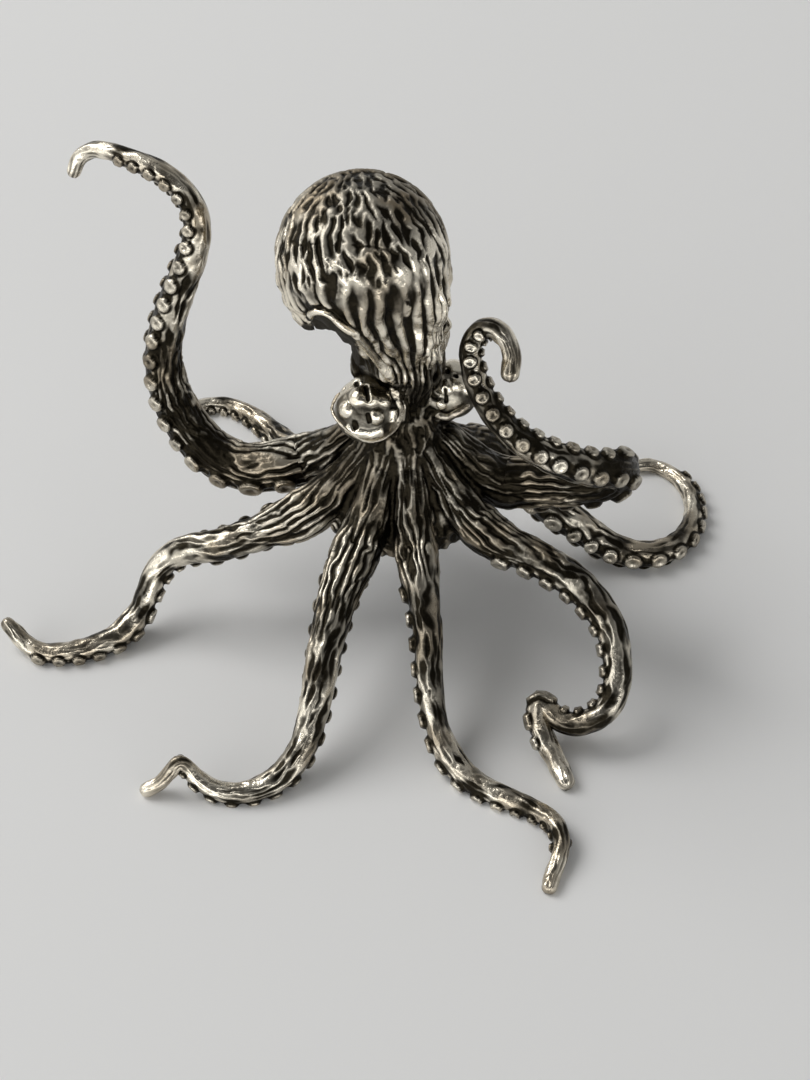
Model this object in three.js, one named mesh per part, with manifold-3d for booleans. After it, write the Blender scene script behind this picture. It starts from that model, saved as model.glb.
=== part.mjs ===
// Octopus figurine in silver, cast as twelve separate pieces and soldered together.
// Sizes are in millimetres. Z is up, the viewer stands on the -Y side, and the figurine
// is built round the upright axis of its body before it is centred on its footprint.

import * as THREE from "three";
import { mergeVertices } from "three/addons/utils/BufferGeometryUtils.js";
import Module from "manifold-3d";

const wasm = await Module();
wasm.setup();

// Joints between the castings
const solderGap = 0.3;
const slipFit = 0.25;
const armTenonRadius = 1.2;
const armTenonLength = 3.2;
const neckSpigotRadius = 2.6;
const neckSpigotLength = 3.5;
const eyePegRadius = 0.8;
const eyePegLength = 1.6;

// Head and the web under it
const ringRadius = 12.5;
const neckRadius = 5.6;
const neckX = -0.3;
const headRadius = 4.3;
const headX = 1.05;
const headTurn = 19;
const throatDepth = 4;
const throatY = 1.6;
const webTopRadius = 5.2;
const webRadius = 10.2;
const webHeight = 14.6;
const webThickness = 2.2;
const webEdgeShare = 0.97;
const hollowShare = 0.5;
const limbCrownRadius = 1.9;
const limbCrownShare = 0.6;
const siphonRadius = 1.9;
const siphonBoreRadius = 1;
const siphonTaper = 0.8;
const siphonY = 7.5;
const siphonReach = 2.9;
const siphonLift = 2;

// Heights of the body, each as its rise over the one below it
const webRise = 11.4;
const headRise = 3.9;
const throatRise = 3.3;
const neckRise = 4.3;
const webTopHeight = webHeight + webRise;
const headHeight = webTopHeight + headRise;
const throatHeight = headHeight + throatRise;
const seamHeight = throatHeight + neckRise;

// Eyes, as beads with a flat back
const eyeSpacing = 10.75;
const eyeY = -0.4;
const leftEyeRadius = 4.05;
const rightEyeRadius = 3.5;
const eyeForward = 0.6;
const eyeUpward = 0.5;
const eyeSeatDepth = 1.6;
const browThickness = 0.6;
const browInset = 2.2;

// Mantle, a bulb that leans to the left over the neck and hangs down behind as a hood
const mantleRadius = 9.9;
const mantleRise = 9.7;
const mantleWall = 1.3;
const mantleX = -4.35;
const bulbRise = 13.9;
const mantleHeight = seamHeight + bulbRise;
const hoodLength = 19;
const hoodRadius = 6.4;
const hoodDrop = 2.7;
const hoodLean = new THREE.Vector3(0.11, 0.06, -0.965).normalize();
const pocketRise = 2;
const mouthX = -11.2;
const mouthRise = 3.1;
const mouthFacing = new THREE.Vector3(0.133, -0.77, -0.62).normalize();
const lobeX = -10.3;
const lobeRise = 2.7;
const lobeFacing = new THREE.Vector3(-0.6, -0.2, -0.775).normalize();
const neckPlateDepth = 3.6;
const neckPlateInset = 0.1;

// Arms
const footFlat = 0.35;
const suckerRadius = 0.8;
const suckerHeight = 0.7;
const suckerPitch = 3.4;
const suckerSpread = 44;
const suckerReach = 0.8;
const suckerStemShare = 0.8;
const suckerRootShare = 0.6;
const tipLength = 0.7;

// Fineness of the facets
const armSides = 8;
const ringsPerStation = 2;
const samplesPerRing = 2;
const bodySides = 20;
const ballSides = 14;
const suckerSides = 5;
const pegSides = 8;
const weldDistance = 1e-4;
const cutterSize = 200;

const silver = { color: 0xb9b2a6, roughness: 0.28, metalness: 1 };

// Each arm leaves the body's axis at its heading, in degrees from +X, with its root that far over
// the web's edge. A station of its route is [x, y, lift]: the place from the arm's root, and how far
// the underside is above the table.
// The roll, at the root and at the tip in degrees, turns the suckers round the arm.
const arms = [
  {
    name: "arm_back_left",
    heading: 115,
    rootRise: -0.4,
    rootRadius: 2.7,
    tipRadius: 0.8,
    taper: 1.2,
    roll: [0, 20],
    route: [
      [-1.6, 1.7, 8.6], [-3.4, 2.5, 5.6], [-5.4, 3.9, 3.2], [-7.7, 6.9, 1.6], [-10, 10.7, 0.6],
      [-12.4, 14.2, 0.1], [-15.4, 17.7, 0], [-18.8, 19.8, 0], [-22, 19.6, 0.3], [-24.4, 17.4, 1],
      [-25.2, 14.2, 1.2],
    ],
  },
  {
    name: "arm_raised_left",
    heading: 166,
    rootRise: 2.4,
    rootRadius: 3.3,
    tipRadius: 0.85,
    taper: 1,
    roll: [25, 30],
    route: [
      [-2.8, -0.7, 13.9], [-6.6, -0.8, 13.6], [-10.8, 0.8, 14.2], [-13.9, 3, 16.4], [-16, 4, 20.6],
      [-16.9, 4.4, 25.3], [-16.7, 4.8, 30], [-15.6, 5.1, 34.6], [-14.2, 5.4, 38.8], [-12.8, 6.1, 42.4],
      [-12, 7.1, 45.3], [-12.2, 8, 48.4], [-13.6, 8.8, 51], [-16, 9.8, 52.8], [-19, 11.3, 53.5],
      [-22, 13, 53.6], [-24.4, 14.1, 53.1], [-25.9, 14.2, 52.1], [-26.7, 13.7, 50.5],
    ],
  },
  {
    name: "arm_left",
    heading: 203,
    rootRise: 0.9,
    rootRadius: 3.1,
    tipRadius: 1.1,
    taper: 1.3,
    roll: [-60, 35],
    route: [
      [-4.4, -1, 11.2], [-8.2, -1.9, 10.4], [-11.7, -2.3, 9.7], [-14.8, -1.8, 8.9], [-17.4, -1.8, 7.5],
      [-19.1, -2.7, 5.6], [-20.2, -4.1, 3.6], [-21.4, -5.8, 1.7], [-23.8, -7.8, 0.3], [-27.2, -9.5, 0],
      [-30.6, -10.2, 0], [-33.3, -10, 0], [-35.4, -8.8, 0.6], [-37.3, -7.4, 2.2],
    ],
  },
  {
    name: "arm_front_left",
    heading: 245,
    rootRise: 0.7,
    rootRadius: 3.1,
    tipRadius: 0.85,
    taper: 1.3,
    roll: [-25, 30],
    route: [
      [-1.1, -2.7, 12], [-2.4, -6.5, 10.8], [-3.3, -10, 9.5], [-4, -13.1, 7.9], [-4.6, -16, 6],
      [-5.3, -18.6, 4.1], [-6.2, -21, 2.4], [-8, -23.4, 1], [-10.5, -25.1, 0.2], [-13.5, -26, 0],
      [-16.3, -25.8, 0.3], [-18.5, -24.9, 1.3], [-19.8, -24.3, 2.8], [-20.7, -24.3, 3.8],
      [-21.6, -24.7, 2.9], [-23, -25.1, 1.2], [-24.7, -25.4, 0.2],
    ],
  },
  {
    name: "arm_front_right",
    heading: 279,
    rootRise: 0.7,
    rootRadius: 2.6,
    tipRadius: 0.9,
    taper: 1.3,
    roll: [-25, -40],
    route: [
      [0.3, -2.4, 12.5], [0.8, -5.4, 11.1], [1.2, -8.5, 9.4], [1.4, -11.4, 7.4], [1.6, -14.1, 5.3],
      [2.1, -16.6, 3.3], [3.1, -19.1, 1.6], [4.6, -21.4, 0.5], [6.7, -23.5, 0], [9.3, -25.2, 0],
      [12.1, -26.6, 0], [14.6, -28.3, 0.3], [16.1, -30.4, 0.9], [16.6, -32.6, 1], [16.2, -34.7, 0.6],
      [15.5, -36.6, 0.2], [15, -38.4, 0],
    ],
  },
  {
    name: "arm_right_front",
    heading: 320,
    rootRise: 1.3,
    rootRadius: 2.9,
    tipRadius: 1.1,
    taper: 0.9,
    roll: [-25, -30],
    route: [
      [2.8, -2.1, 13], [5.9, -4.1, 13.1], [9, -6.1, 12.8], [11.8, -8.2, 12.1], [14, -10.6, 11.1],
      [15.6, -13.1, 9.7], [16.2, -15.6, 7.9], [16.2, -18, 6], [15.2, -20, 4.4], [13.4, -21.1, 3.3],
      [11.1, -21.3, 2.7], [9.1, -20.6, 2.9], [7.8, -19.5, 3.6], [6.9, -19.2, 3.9], [6.7, -20.4, 3],
      [7.5, -22.1, 1.5], [8.6, -24, 0.5], [9.4, -25.8, 0], [9.9, -27.4, 0],
    ],
  },
  {
    name: "arm_raised_right",
    heading: 351,
    rootRise: 3.2,
    rootRadius: 3.4,
    tipRadius: 1.1,
    taper: 1.5,
    roll: [30, 40],
    route: [
      [2.6, -0.5, 15.2], [5.9, -1.3, 16.2], [9.4, -2.2, 17.3], [12.3, -3.1, 18.7], [13.9, -3.9, 21],
      [13.2, -5.3, 23], [10.9, -7, 24.7], [7.7, -8.2, 26.9], [4.2, -8.5, 29.1], [1.2, -8.1, 31.4],
      [-1.2, -7, 33.7], [-2.9, -5.5, 36], [-4, -3.9, 38.3], [-4.3, -2.6, 40.5], [-3.5, -2.1, 42.5],
      [-1.9, -2.4, 43.6], [-0.4, -3.5, 43.1], [0.4, -5, 41.7], [0.2, -6.5, 40.4],
    ],
  },
  {
    name: "arm_back_right",
    heading: 38,
    rootRise: 0.4,
    rootRadius: 2.7,
    tipRadius: 0.8,
    taper: 1,
    roll: [0, -45],
    route: [
      [2.8, 0.8, 10], [5.6, -0.8, 8.2], [8, -2.6, 6.4], [10.3, -3.7, 4.9], [12.6, -4.1, 3.3],
      [15.3, -4.7, 1.5], [18, -5.5, 0.3], [21.1, -6, 0], [24.1, -5.3, 0], [26.7, -3.1, 0],
      [28.4, 0.5, 0], [28.7, 4.4, 0], [27.8, 7.8, 0], [25.9, 10.3, 0.1], [23.6, 11.4, 0.3],
      [21.4, 11.2, 0.4],
    ],
  },
];

// The web's skirt and the hollow under it, from edge to top: [share of the way up, share of the way in]
const skirtProfile = [[0, 0], [0.22, 0.2], [0.55, 0.6], [1, 1]];
const hollowProfile = [[0, 0], [0.6, 0.3], [1, 0.75]];

// The neck as it widens upwards into the front of the bulb:
// [share of the height, share of the width, share of the way to the front]
const neckProfile = [
  [0, 0, 0], [0.2, 0, 0.1], [0.4, 0.2, 0.45], [0.6, 0.32, 0.8], [0.85, 0.75, 1], [1.4, 1, 1],
];

// Inside the web a limb starts near the body's axis: [distance from the axis, rise over the root]
const crownRoute = [[5, 7], [8.6, 2.7]];

function vector(x, y, z) {
  return new THREE.Vector3(x, y, z);
}

function blend(from, to, share) {
  return from + (to - from) * share;
}

function radians(degrees) {
  return THREE.MathUtils.degToRad(degrees);
}

// Closed triangles to a solid that can be joined and cut
function toSolid(geometry) {
  const bare = new THREE.BufferGeometry();
  bare.setAttribute("position", geometry.getAttribute("position"));
  bare.setIndex(geometry.getIndex());
  const welded = mergeVertices(bare, weldDistance);
  const corners = welded.getIndex().array;
  const triangles = [];
  for (let i = 0; i < corners.length; i += 3) {
    const [a, b, c] = corners.slice(i, i + 3);
    if (a !== b && b !== c && c !== a) {
      triangles.push(a, b, c);
    }
  }
  return new wasm.Manifold(new wasm.Mesh({
    numProp: 3,
    vertProperties: new Float32Array(welded.getAttribute("position").array),
    triVerts: new Uint32Array(triangles),
  }));
}

function toGeometry(solid) {
  const mesh = solid.getMesh();
  const geometry = new THREE.BufferGeometry();
  geometry.setAttribute("position", new THREE.BufferAttribute(mesh.vertProperties, mesh.numProp));
  geometry.setIndex(new THREE.BufferAttribute(mesh.triVerts, 1));
  geometry.computeVertexNormals();
  return geometry;
}

function joined(solids) {
  return solids.reduce((whole, piece) => whole.add(piece));
}

// A closed skin over rings of points, which run anticlockwise about the way from first to last
function loft(rings, firstPoint, lastPoint) {
  const sides = rings[0].length;
  const points = [firstPoint, ...rings.flat(), lastPoint];
  const lastIndex = points.length - 1;
  const corner = (ring, side) => 1 + ring * sides + (side % sides);
  const triangles = [];
  for (let side = 0; side < sides; side += 1) {
    triangles.push(0, corner(0, side + 1), corner(0, side));
    triangles.push(lastIndex, corner(rings.length - 1, side), corner(rings.length - 1, side + 1));
    for (let ring = 0; ring < rings.length - 1; ring += 1) {
      const near = [corner(ring, side), corner(ring, side + 1)];
      const far = [corner(ring + 1, side), corner(ring + 1, side + 1)];
      triangles.push(near[0], near[1], far[1]);
      triangles.push(near[0], far[1], far[0]);
    }
  }
  const geometry = new THREE.BufferGeometry();
  geometry.setFromPoints(points);
  geometry.setIndex(triangles);
  return toSolid(geometry);
}

function middle(ring) {
  return ring.reduce((sum, point) => sum.add(point), vector(0, 0, 0)).divideScalar(ring.length);
}

// Points round a frame's centre, in the plane across its tangent
function ringRound(centre, across, side, radius, sides) {
  const ring = [];
  for (let i = 0; i < sides; i += 1) {
    const angle = (2 * Math.PI * (i + 0.5)) / sides;
    ring.push(centre.clone()
      .addScaledVector(across, radius * Math.cos(angle))
      .addScaledVector(side, radius * Math.sin(angle)));
  }
  return ring;
}

function levelEllipse(x, y, z, radiusX, radiusY) {
  const ring = [];
  for (let i = 0; i < bodySides; i += 1) {
    const angle = (2 * Math.PI * i) / bodySides;
    ring.push(vector(x + radiusX * Math.cos(angle), y + radiusY * Math.sin(angle), z));
  }
  return ring;
}

function levelLoft(rings) {
  return loft(rings, middle(rings[0]), middle(rings[rings.length - 1]));
}

// A straight round peg from one point to another
function peg(from, to, fromRadius, toRadius, sides) {
  const way = to.clone().sub(from);
  const geometry = new THREE.CylinderGeometry(toRadius, fromRadius, way.length(), sides);
  geometry.translate(0, way.length() / 2, 0);
  geometry.applyQuaternion(new THREE.Quaternion().setFromUnitVectors(vector(0, 1, 0), way.normalize()));
  geometry.translate(from.x, from.y, from.z);
  return toSolid(geometry);
}

// Everything on the far side of a plane, as a large block
function beyond(point, facing) {
  const geometry = new THREE.BoxGeometry(cutterSize, cutterSize, cutterSize);
  geometry.translate(0, 0, cutterSize / 2);
  geometry.applyQuaternion(new THREE.Quaternion().setFromUnitVectors(vector(0, 0, 1), facing));
  geometry.translate(point.x, point.y, point.z);
  return toSolid(geometry);
}

function ball(centre, radius) {
  const geometry = new THREE.SphereGeometry(radius, ballSides, ballSides / 2);
  geometry.translate(centre.x, centre.y, centre.z);
  return toSolid(geometry);
}

// The limb's route as frames: where it is, which way it runs, where the suckers face, how thick
function limbFrames(arm) {
  const rootHeight = webHeight + arm.rootRise;
  const outward = vector(Math.cos(radians(arm.heading)), Math.sin(radians(arm.heading)), 0);
  const root = outward.clone().multiplyScalar(ringRadius).setZ(rootHeight);
  const radii = stationRadii(arm);
  const crown = crownRoute.map(([distance, rise]) => (
    outward.clone().multiplyScalar(distance).setZ(rootHeight + rise)));
  const stations = arm.route.map(([x, y, lift], i) => (
    vector(root.x + x, root.y + y, lift + radii[i + 1] - footFlat)));
  const curve = new THREE.CatmullRomCurve3([...crown, root, ...stations], false, "centripetal");
  const shoulderRadius = blend(limbCrownRadius, arm.rootRadius, limbCrownShare);
  const limbRadii = [limbCrownRadius, shoulderRadius, ...radii];
  const steps = (limbRadii.length - 1) * ringsPerStation * samplesPerRing;
  const frames = [];
  let belly = vector(0, 0, -1);
  for (let step = 0; step <= steps; step += 1) {
    const tangent = curve.getTangent(step / steps);
    if (step > 0) {
      const turn = new THREE.Quaternion().setFromUnitVectors(frames[step - 1].tangent, tangent);
      belly = frames[step - 1].plainBelly.clone().applyQuaternion(turn);
    }
    belly.addScaledVector(tangent, -belly.dot(tangent)).normalize();
    const point = curve.getPoint(step / steps);
    const run = step === 0 ? 0 : frames[step - 1].run + point.distanceTo(frames[step - 1].point);
    const place = (step / steps) * (limbRadii.length - 1);
    const station = Math.min(Math.floor(place), limbRadii.length - 2);
    const radius = blend(limbRadii[station], limbRadii[station + 1], place - station);
    frames.push({ point, tangent, plainBelly: belly.clone(), radius, run });
  }
  return turnSuckers(arm, frames);
}

// The arm's radius at its root and at each station, thinner towards the tip
function stationRadii(arm) {
  const underside = webHeight + arm.rootRise - arm.rootRadius;
  const places = [vector(0, 0, underside), ...arm.route.map((at) => vector(...at))];
  const runs = [0];
  for (let i = 1; i < places.length; i += 1) {
    runs.push(runs[i - 1] + places[i].distanceTo(places[i - 1]));
  }
  const length = runs[runs.length - 1];
  return runs.map((run) => (
    blend(arm.tipRadius, arm.rootRadius, (1 - run / length) ** arm.taper)));
}

// Rolls the belly direction from the root to the tip, and adds the direction to its side
function turnSuckers(arm, frames) {
  const root = frames[rootIndex()];
  const length = frames[frames.length - 1].run - root.run;
  for (const frame of frames) {
    const share = Math.max(0, (frame.run - root.run) / length);
    const roll = radians(blend(arm.roll[0], arm.roll[1], share));
    frame.belly = frame.plainBelly.clone().applyAxisAngle(frame.tangent, roll);
    frame.side = frame.tangent.clone().cross(frame.belly);
  }
  return frames;
}

function rootIndex() {
  return crownRoute.length * ringsPerStation * samplesPerRing;
}

function frameRing(frame, centre) {
  return ringRound(centre, frame.belly, frame.side, frame.radius, armSides);
}

// The tapered stub on the web that one arm is soldered to
function limbStub(frames) {
  const rings = [];
  for (let i = 0; i <= rootIndex(); i += samplesPerRing) {
    const setBack = i === rootIndex() ? solderGap : 0;
    const centre = frames[i].point.clone().addScaledVector(frames[i].tangent, -setBack);
    rings.push(frameRing(frames[i], centre));
  }
  return loft(rings, middle(rings[0]), middle(rings[rings.length - 1]));
}

// The tenon on an arm's root, or with a clearance the socket for it
function armTenon(frames, clearance) {
  const root = frames[rootIndex()];
  const inner = root.point.clone().addScaledVector(root.tangent, -armTenonLength - clearance);
  const outer = root.point.clone().addScaledVector(root.tangent, armTenonRadius);
  return peg(inner, outer, armTenonRadius + clearance, armTenonRadius + clearance, pegSides);
}

function frameAt(frames, run) {
  const next = frames.findIndex((frame) => frame.run >= run);
  const [before, after] = [frames[next - 1], frames[next]];
  const share = (run - before.run) / (after.run - before.run);
  return {
    point: before.point.clone().lerp(after.point, share),
    tangent: before.tangent.clone().lerp(after.tangent, share).normalize(),
    belly: before.belly.clone().lerp(after.belly, share).normalize(),
    radius: blend(before.radius, after.radius, share),
  };
}

// Two rows of suckers, set in turn to one side of the belly and the other
function armSuckers(arm, frames) {
  const suckers = [];
  const root = frames[rootIndex()];
  const end = blend(root.run, frames[frames.length - 1].run, suckerReach);
  let run = root.run + suckerPitch;
  let spread = suckerSpread;
  while (run < end) {
    const frame = frameAt(frames, run);
    const scale = Math.sqrt(frame.radius / arm.rootRadius);
    const facing = frame.belly.clone().applyAxisAngle(frame.tangent, radians(spread));
    const base = frame.point.clone().addScaledVector(facing, frame.radius * suckerRootShare);
    const top = frame.point.clone().addScaledVector(facing, frame.radius + suckerHeight * scale);
    const rim = suckerRadius * scale;
    suckers.push(peg(base, top, rim * suckerStemShare, rim, suckerSides));
    run += (suckerPitch * scale) / 2;
    spread = -spread;
  }
  return suckers;
}

function armSolid(arm, frames) {
  const rings = [];
  for (let i = rootIndex(); i < frames.length; i += samplesPerRing) {
    rings.push(frameRing(frames[i], frames[i].point));
  }
  const tip = frames[frames.length - 1];
  const tipPoint = tip.point.clone().addScaledVector(tip.tangent, tip.radius * tipLength);
  const limb = loft(rings, middle(rings[0]), tipPoint);
  const table = beyond(vector(0, 0, 0), vector(0, 0, -1));
  const tenon = armTenon(frames, 0);
  return joined([limb, tenon, ...armSuckers(arm, frames)]).subtract(table);
}

// The way across the head towards one eye: -1 for the left eye, 1 for the right
function eyeSide(hand) {
  return vector(Math.cos(radians(headTurn)), Math.sin(radians(headTurn)), 0).multiplyScalar(hand);
}

function eyeCentre(hand) {
  return vector(headX, eyeY, headHeight).addScaledVector(eyeSide(hand), eyeSpacing / 2);
}

// Where an eye looks: outwards, forwards and up
function eyeFacing(hand) {
  const forward = eyeSide(1).cross(vector(0, 0, 1));
  return eyeSide(hand).addScaledVector(forward, eyeForward).setZ(eyeUpward).normalize();
}

// An eye bead with its flat back and its peg, or with a clearance the seat for it
function eyeBead(hand, radius, clearance) {
  const centre = eyeCentre(hand);
  const facing = eyeFacing(hand);
  const back = centre.clone().addScaledVector(facing, -eyeSeatDepth - clearance);
  const pegEnd = centre.clone().addScaledVector(facing, -eyeSeatDepth - eyePegLength - clearance);
  const behind = beyond(back, facing.clone().negate());
  const bead = ball(centre, radius + clearance).subtract(behind);
  return bead.add(peg(pegEnd, centre, eyePegRadius + clearance, eyePegRadius + clearance, pegSides));
}

function brow(hand, radius) {
  const centre = eyeCentre(hand).addScaledVector(eyeFacing(hand), -browInset);
  return ball(centre, radius + browThickness);
}

// A short tube behind the head, under the hood
function siphon() {
  const root = vector(headX, throatY, headHeight);
  const bend = vector(headX, siphonY, headHeight);
  const way = vector(0, siphonReach, siphonLift);
  const end = bend.clone().add(way);
  const stem = peg(root, bend, siphonRadius, siphonRadius, pegSides);
  const knuckle = ball(bend, siphonRadius);
  const funnel = peg(bend, end, siphonRadius, siphonRadius * siphonTaper, pegSides);
  const bore = peg(bend, end.clone().add(way), siphonBoreRadius, siphonBoreRadius, pegSides);
  return joined([stem, knuckle, funnel]).subtract(bore);
}

function headCore() {
  const edge = webRadius * webEdgeShare;
  const skirt = skirtProfile.map(([up, inward]) => {
    const radius = blend(webRadius, webTopRadius, inward);
    return levelEllipse(0, 0, blend(webHeight, webTopHeight, up), radius, radius);
  });
  return levelLoft([
    levelEllipse(0, 0, webHeight - webThickness * webEdgeShare, edge, edge),
    ...skirt,
    levelEllipse(headX, throatY, headHeight, headRadius, headRadius),
    levelEllipse(neckX, throatY, throatHeight, neckRadius, throatDepth),
    levelEllipse(neckX, 0, seamHeight - solderGap, neckRadius, neckRadius),
  ]);
}

// The open hollow under the web
function webHollow() {
  const mouth = webRadius - webThickness;
  const bottom = webHeight - webThickness;
  const top = bottom + (webTopHeight - webHeight) * hollowShare;
  const dome = hollowProfile.map(([up, inward]) => {
    const radius = blend(mouth, 0, inward);
    return levelEllipse(0, 0, blend(bottom, top, up), radius, radius);
  });
  return levelLoft([levelEllipse(0, 0, bottom - webThickness, mouth, mouth), ...dome]);
}

function neckSpigot(clearance) {
  const bottom = vector(neckX, 0, seamHeight - neckSpigotLength - clearance);
  const top = vector(neckX, 0, seamHeight + neckSpigotRadius);
  return peg(bottom, top, neckSpigotRadius + clearance, neckSpigotRadius + clearance, pegSides);
}

function headAndWeb(limbs) {
  const core = headCore().subtract(webHollow());
  const stubs = limbs.map((limb) => limbStub(limb.frames));
  const sockets = limbs.map((limb) => armTenon(limb.frames, slipFit));
  const body = joined([core, brow(-1, leftEyeRadius), brow(1, rightEyeRadius), siphon(), ...stubs]);
  const hollows = [
    eyeBead(-1, leftEyeRadius, slipFit),
    eyeBead(1, rightEyeRadius, slipFit),
    neckSpigot(slipFit),
    ...sockets,
  ];
  return body.subtract(joined(hollows));
}

// The bulb and its hood in one bell shape, set in by a wall, with a domed top
function bell(inset, rise, length) {
  const profile = [new THREE.Vector2(0, -length)];
  const steps = bodySides / 4;
  for (let i = steps; i > 0; i -= 1) {
    const share = i / steps;
    const radius = blend(mantleRadius, hoodRadius, share ** 2) - inset;
    profile.push(new THREE.Vector2(radius, -length * share));
  }
  for (let i = 0; i < steps; i += 1) {
    const angle = ((i / steps) * Math.PI) / 2;
    profile.push(new THREE.Vector2((mantleRadius - inset) * Math.cos(angle), rise * Math.sin(angle)));
  }
  profile.push(new THREE.Vector2(0, rise));
  const geometry = new THREE.LatheGeometry(profile, bodySides);
  const lean = new THREE.Quaternion().setFromUnitVectors(vector(0, -1, 0), hoodLean);
  geometry.applyQuaternion(lean);
  geometry.translate(mantleX, 0, mantleHeight);
  return toSolid(geometry);
}

// The neck and the plate above it, which follows the bulb's skin from inside
function neckAndPlate() {
  const rings = neckProfile.map(([up, wide, forward]) => {
    const x = blend(neckX, mantleX, wide);
    const z = blend(seamHeight, mantleHeight, up);
    const radiusX = blend(neckRadius, mantleRadius, wide);
    const radiusY = blend(neckRadius, neckPlateDepth, wide);
    const y = radiusY - blend(neckRadius, mantleRadius, forward);
    return levelEllipse(x, y, z, radiusX, radiusY);
  });
  return levelLoft(rings).intersect(bell(neckPlateInset, mantleRise, hoodLength));
}

function mantle() {
  const outer = bell(0, mantleRise, hoodLength);
  const pocket = bell(mantleWall, pocketRise, hoodLength + mantleWall);
  const mouthCut = beyond(vector(mouthX, 0, seamHeight + mouthRise), mouthFacing);
  const lobeCut = beyond(vector(lobeX, 0, seamHeight + lobeRise), lobeFacing);
  const hoodCut = beyond(vector(0, 0, seamHeight - hoodDrop), vector(0, 0, -1));
  const shell = outer.subtract(joined([pocket, mouthCut, lobeCut, hoodCut]));
  return joined([shell, neckAndPlate(), neckSpigot(0)]);
}

function silverMaterial() {
  return new THREE.MeshStandardMaterial(silver);
}

// A named piece whose own origin is at the point where it is fixed
function addPiece(group, name, solid, anchor) {
  const geometry = toGeometry(solid);
  geometry.translate(-anchor.x, -anchor.y, -anchor.z);
  const piece = new THREE.Mesh(geometry, silverMaterial());
  piece.name = name;
  piece.position.copy(anchor);
  group.add(piece);
}

// Moves the figurine so that the middle of its footprint is the origin
function centreOnFootprint(group) {
  const footprint = new THREE.Box3().setFromObject(group, true);
  const centre = footprint.getCenter(vector(0, 0, 0));
  group.position.set(-centre.x, -centre.y, 0);
}

function octopus() {
  const group = new THREE.Group();
  const limbs = arms.map((arm) => ({ arm, frames: limbFrames(arm) }));
  addPiece(group, "mantle", mantle(), vector(neckX, 0, seamHeight));
  addPiece(group, "head_and_web", headAndWeb(limbs), vector(0, 0, webHeight));
  addPiece(group, "left_eye", eyeBead(-1, leftEyeRadius, 0), eyeCentre(-1));
  addPiece(group, "right_eye", eyeBead(1, rightEyeRadius, 0), eyeCentre(1));
  for (const { arm, frames } of limbs) {
    addPiece(group, arm.name, armSolid(arm, frames), frames[rootIndex()].point);
  }
  centreOnFootprint(group);
  return group;
}

export default octopus();
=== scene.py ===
import math

import bmesh
import bpy
import numpy as np
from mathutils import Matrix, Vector


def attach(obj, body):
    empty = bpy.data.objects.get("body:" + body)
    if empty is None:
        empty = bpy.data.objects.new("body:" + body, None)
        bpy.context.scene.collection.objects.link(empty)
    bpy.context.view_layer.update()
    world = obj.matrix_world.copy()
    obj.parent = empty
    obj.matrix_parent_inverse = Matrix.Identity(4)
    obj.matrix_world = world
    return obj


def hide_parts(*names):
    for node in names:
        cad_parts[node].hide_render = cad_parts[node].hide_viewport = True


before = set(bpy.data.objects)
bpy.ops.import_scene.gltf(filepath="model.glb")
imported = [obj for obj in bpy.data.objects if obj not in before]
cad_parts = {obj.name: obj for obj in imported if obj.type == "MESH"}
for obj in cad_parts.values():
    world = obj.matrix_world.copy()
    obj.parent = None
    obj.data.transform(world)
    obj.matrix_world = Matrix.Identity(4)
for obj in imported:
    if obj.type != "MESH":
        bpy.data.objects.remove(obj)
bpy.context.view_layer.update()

# Sizes are in millimetres round the upright axis of the octopus's body, and become metres
# in the frame, whose origin is the middle of the footprint
MM = 0.001
BODY_AXIS = np.array([4.602843, 9.507834, 0.0])

# The arms, as in the castings: heading in degrees, height and radius at the root, radius at the
# tip, how the radius falls, the suckers' roll at root and tip, and the route in [x, y, lift]
RING_RADIUS = 12.5
FOOT_FLAT = 0.35
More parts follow.
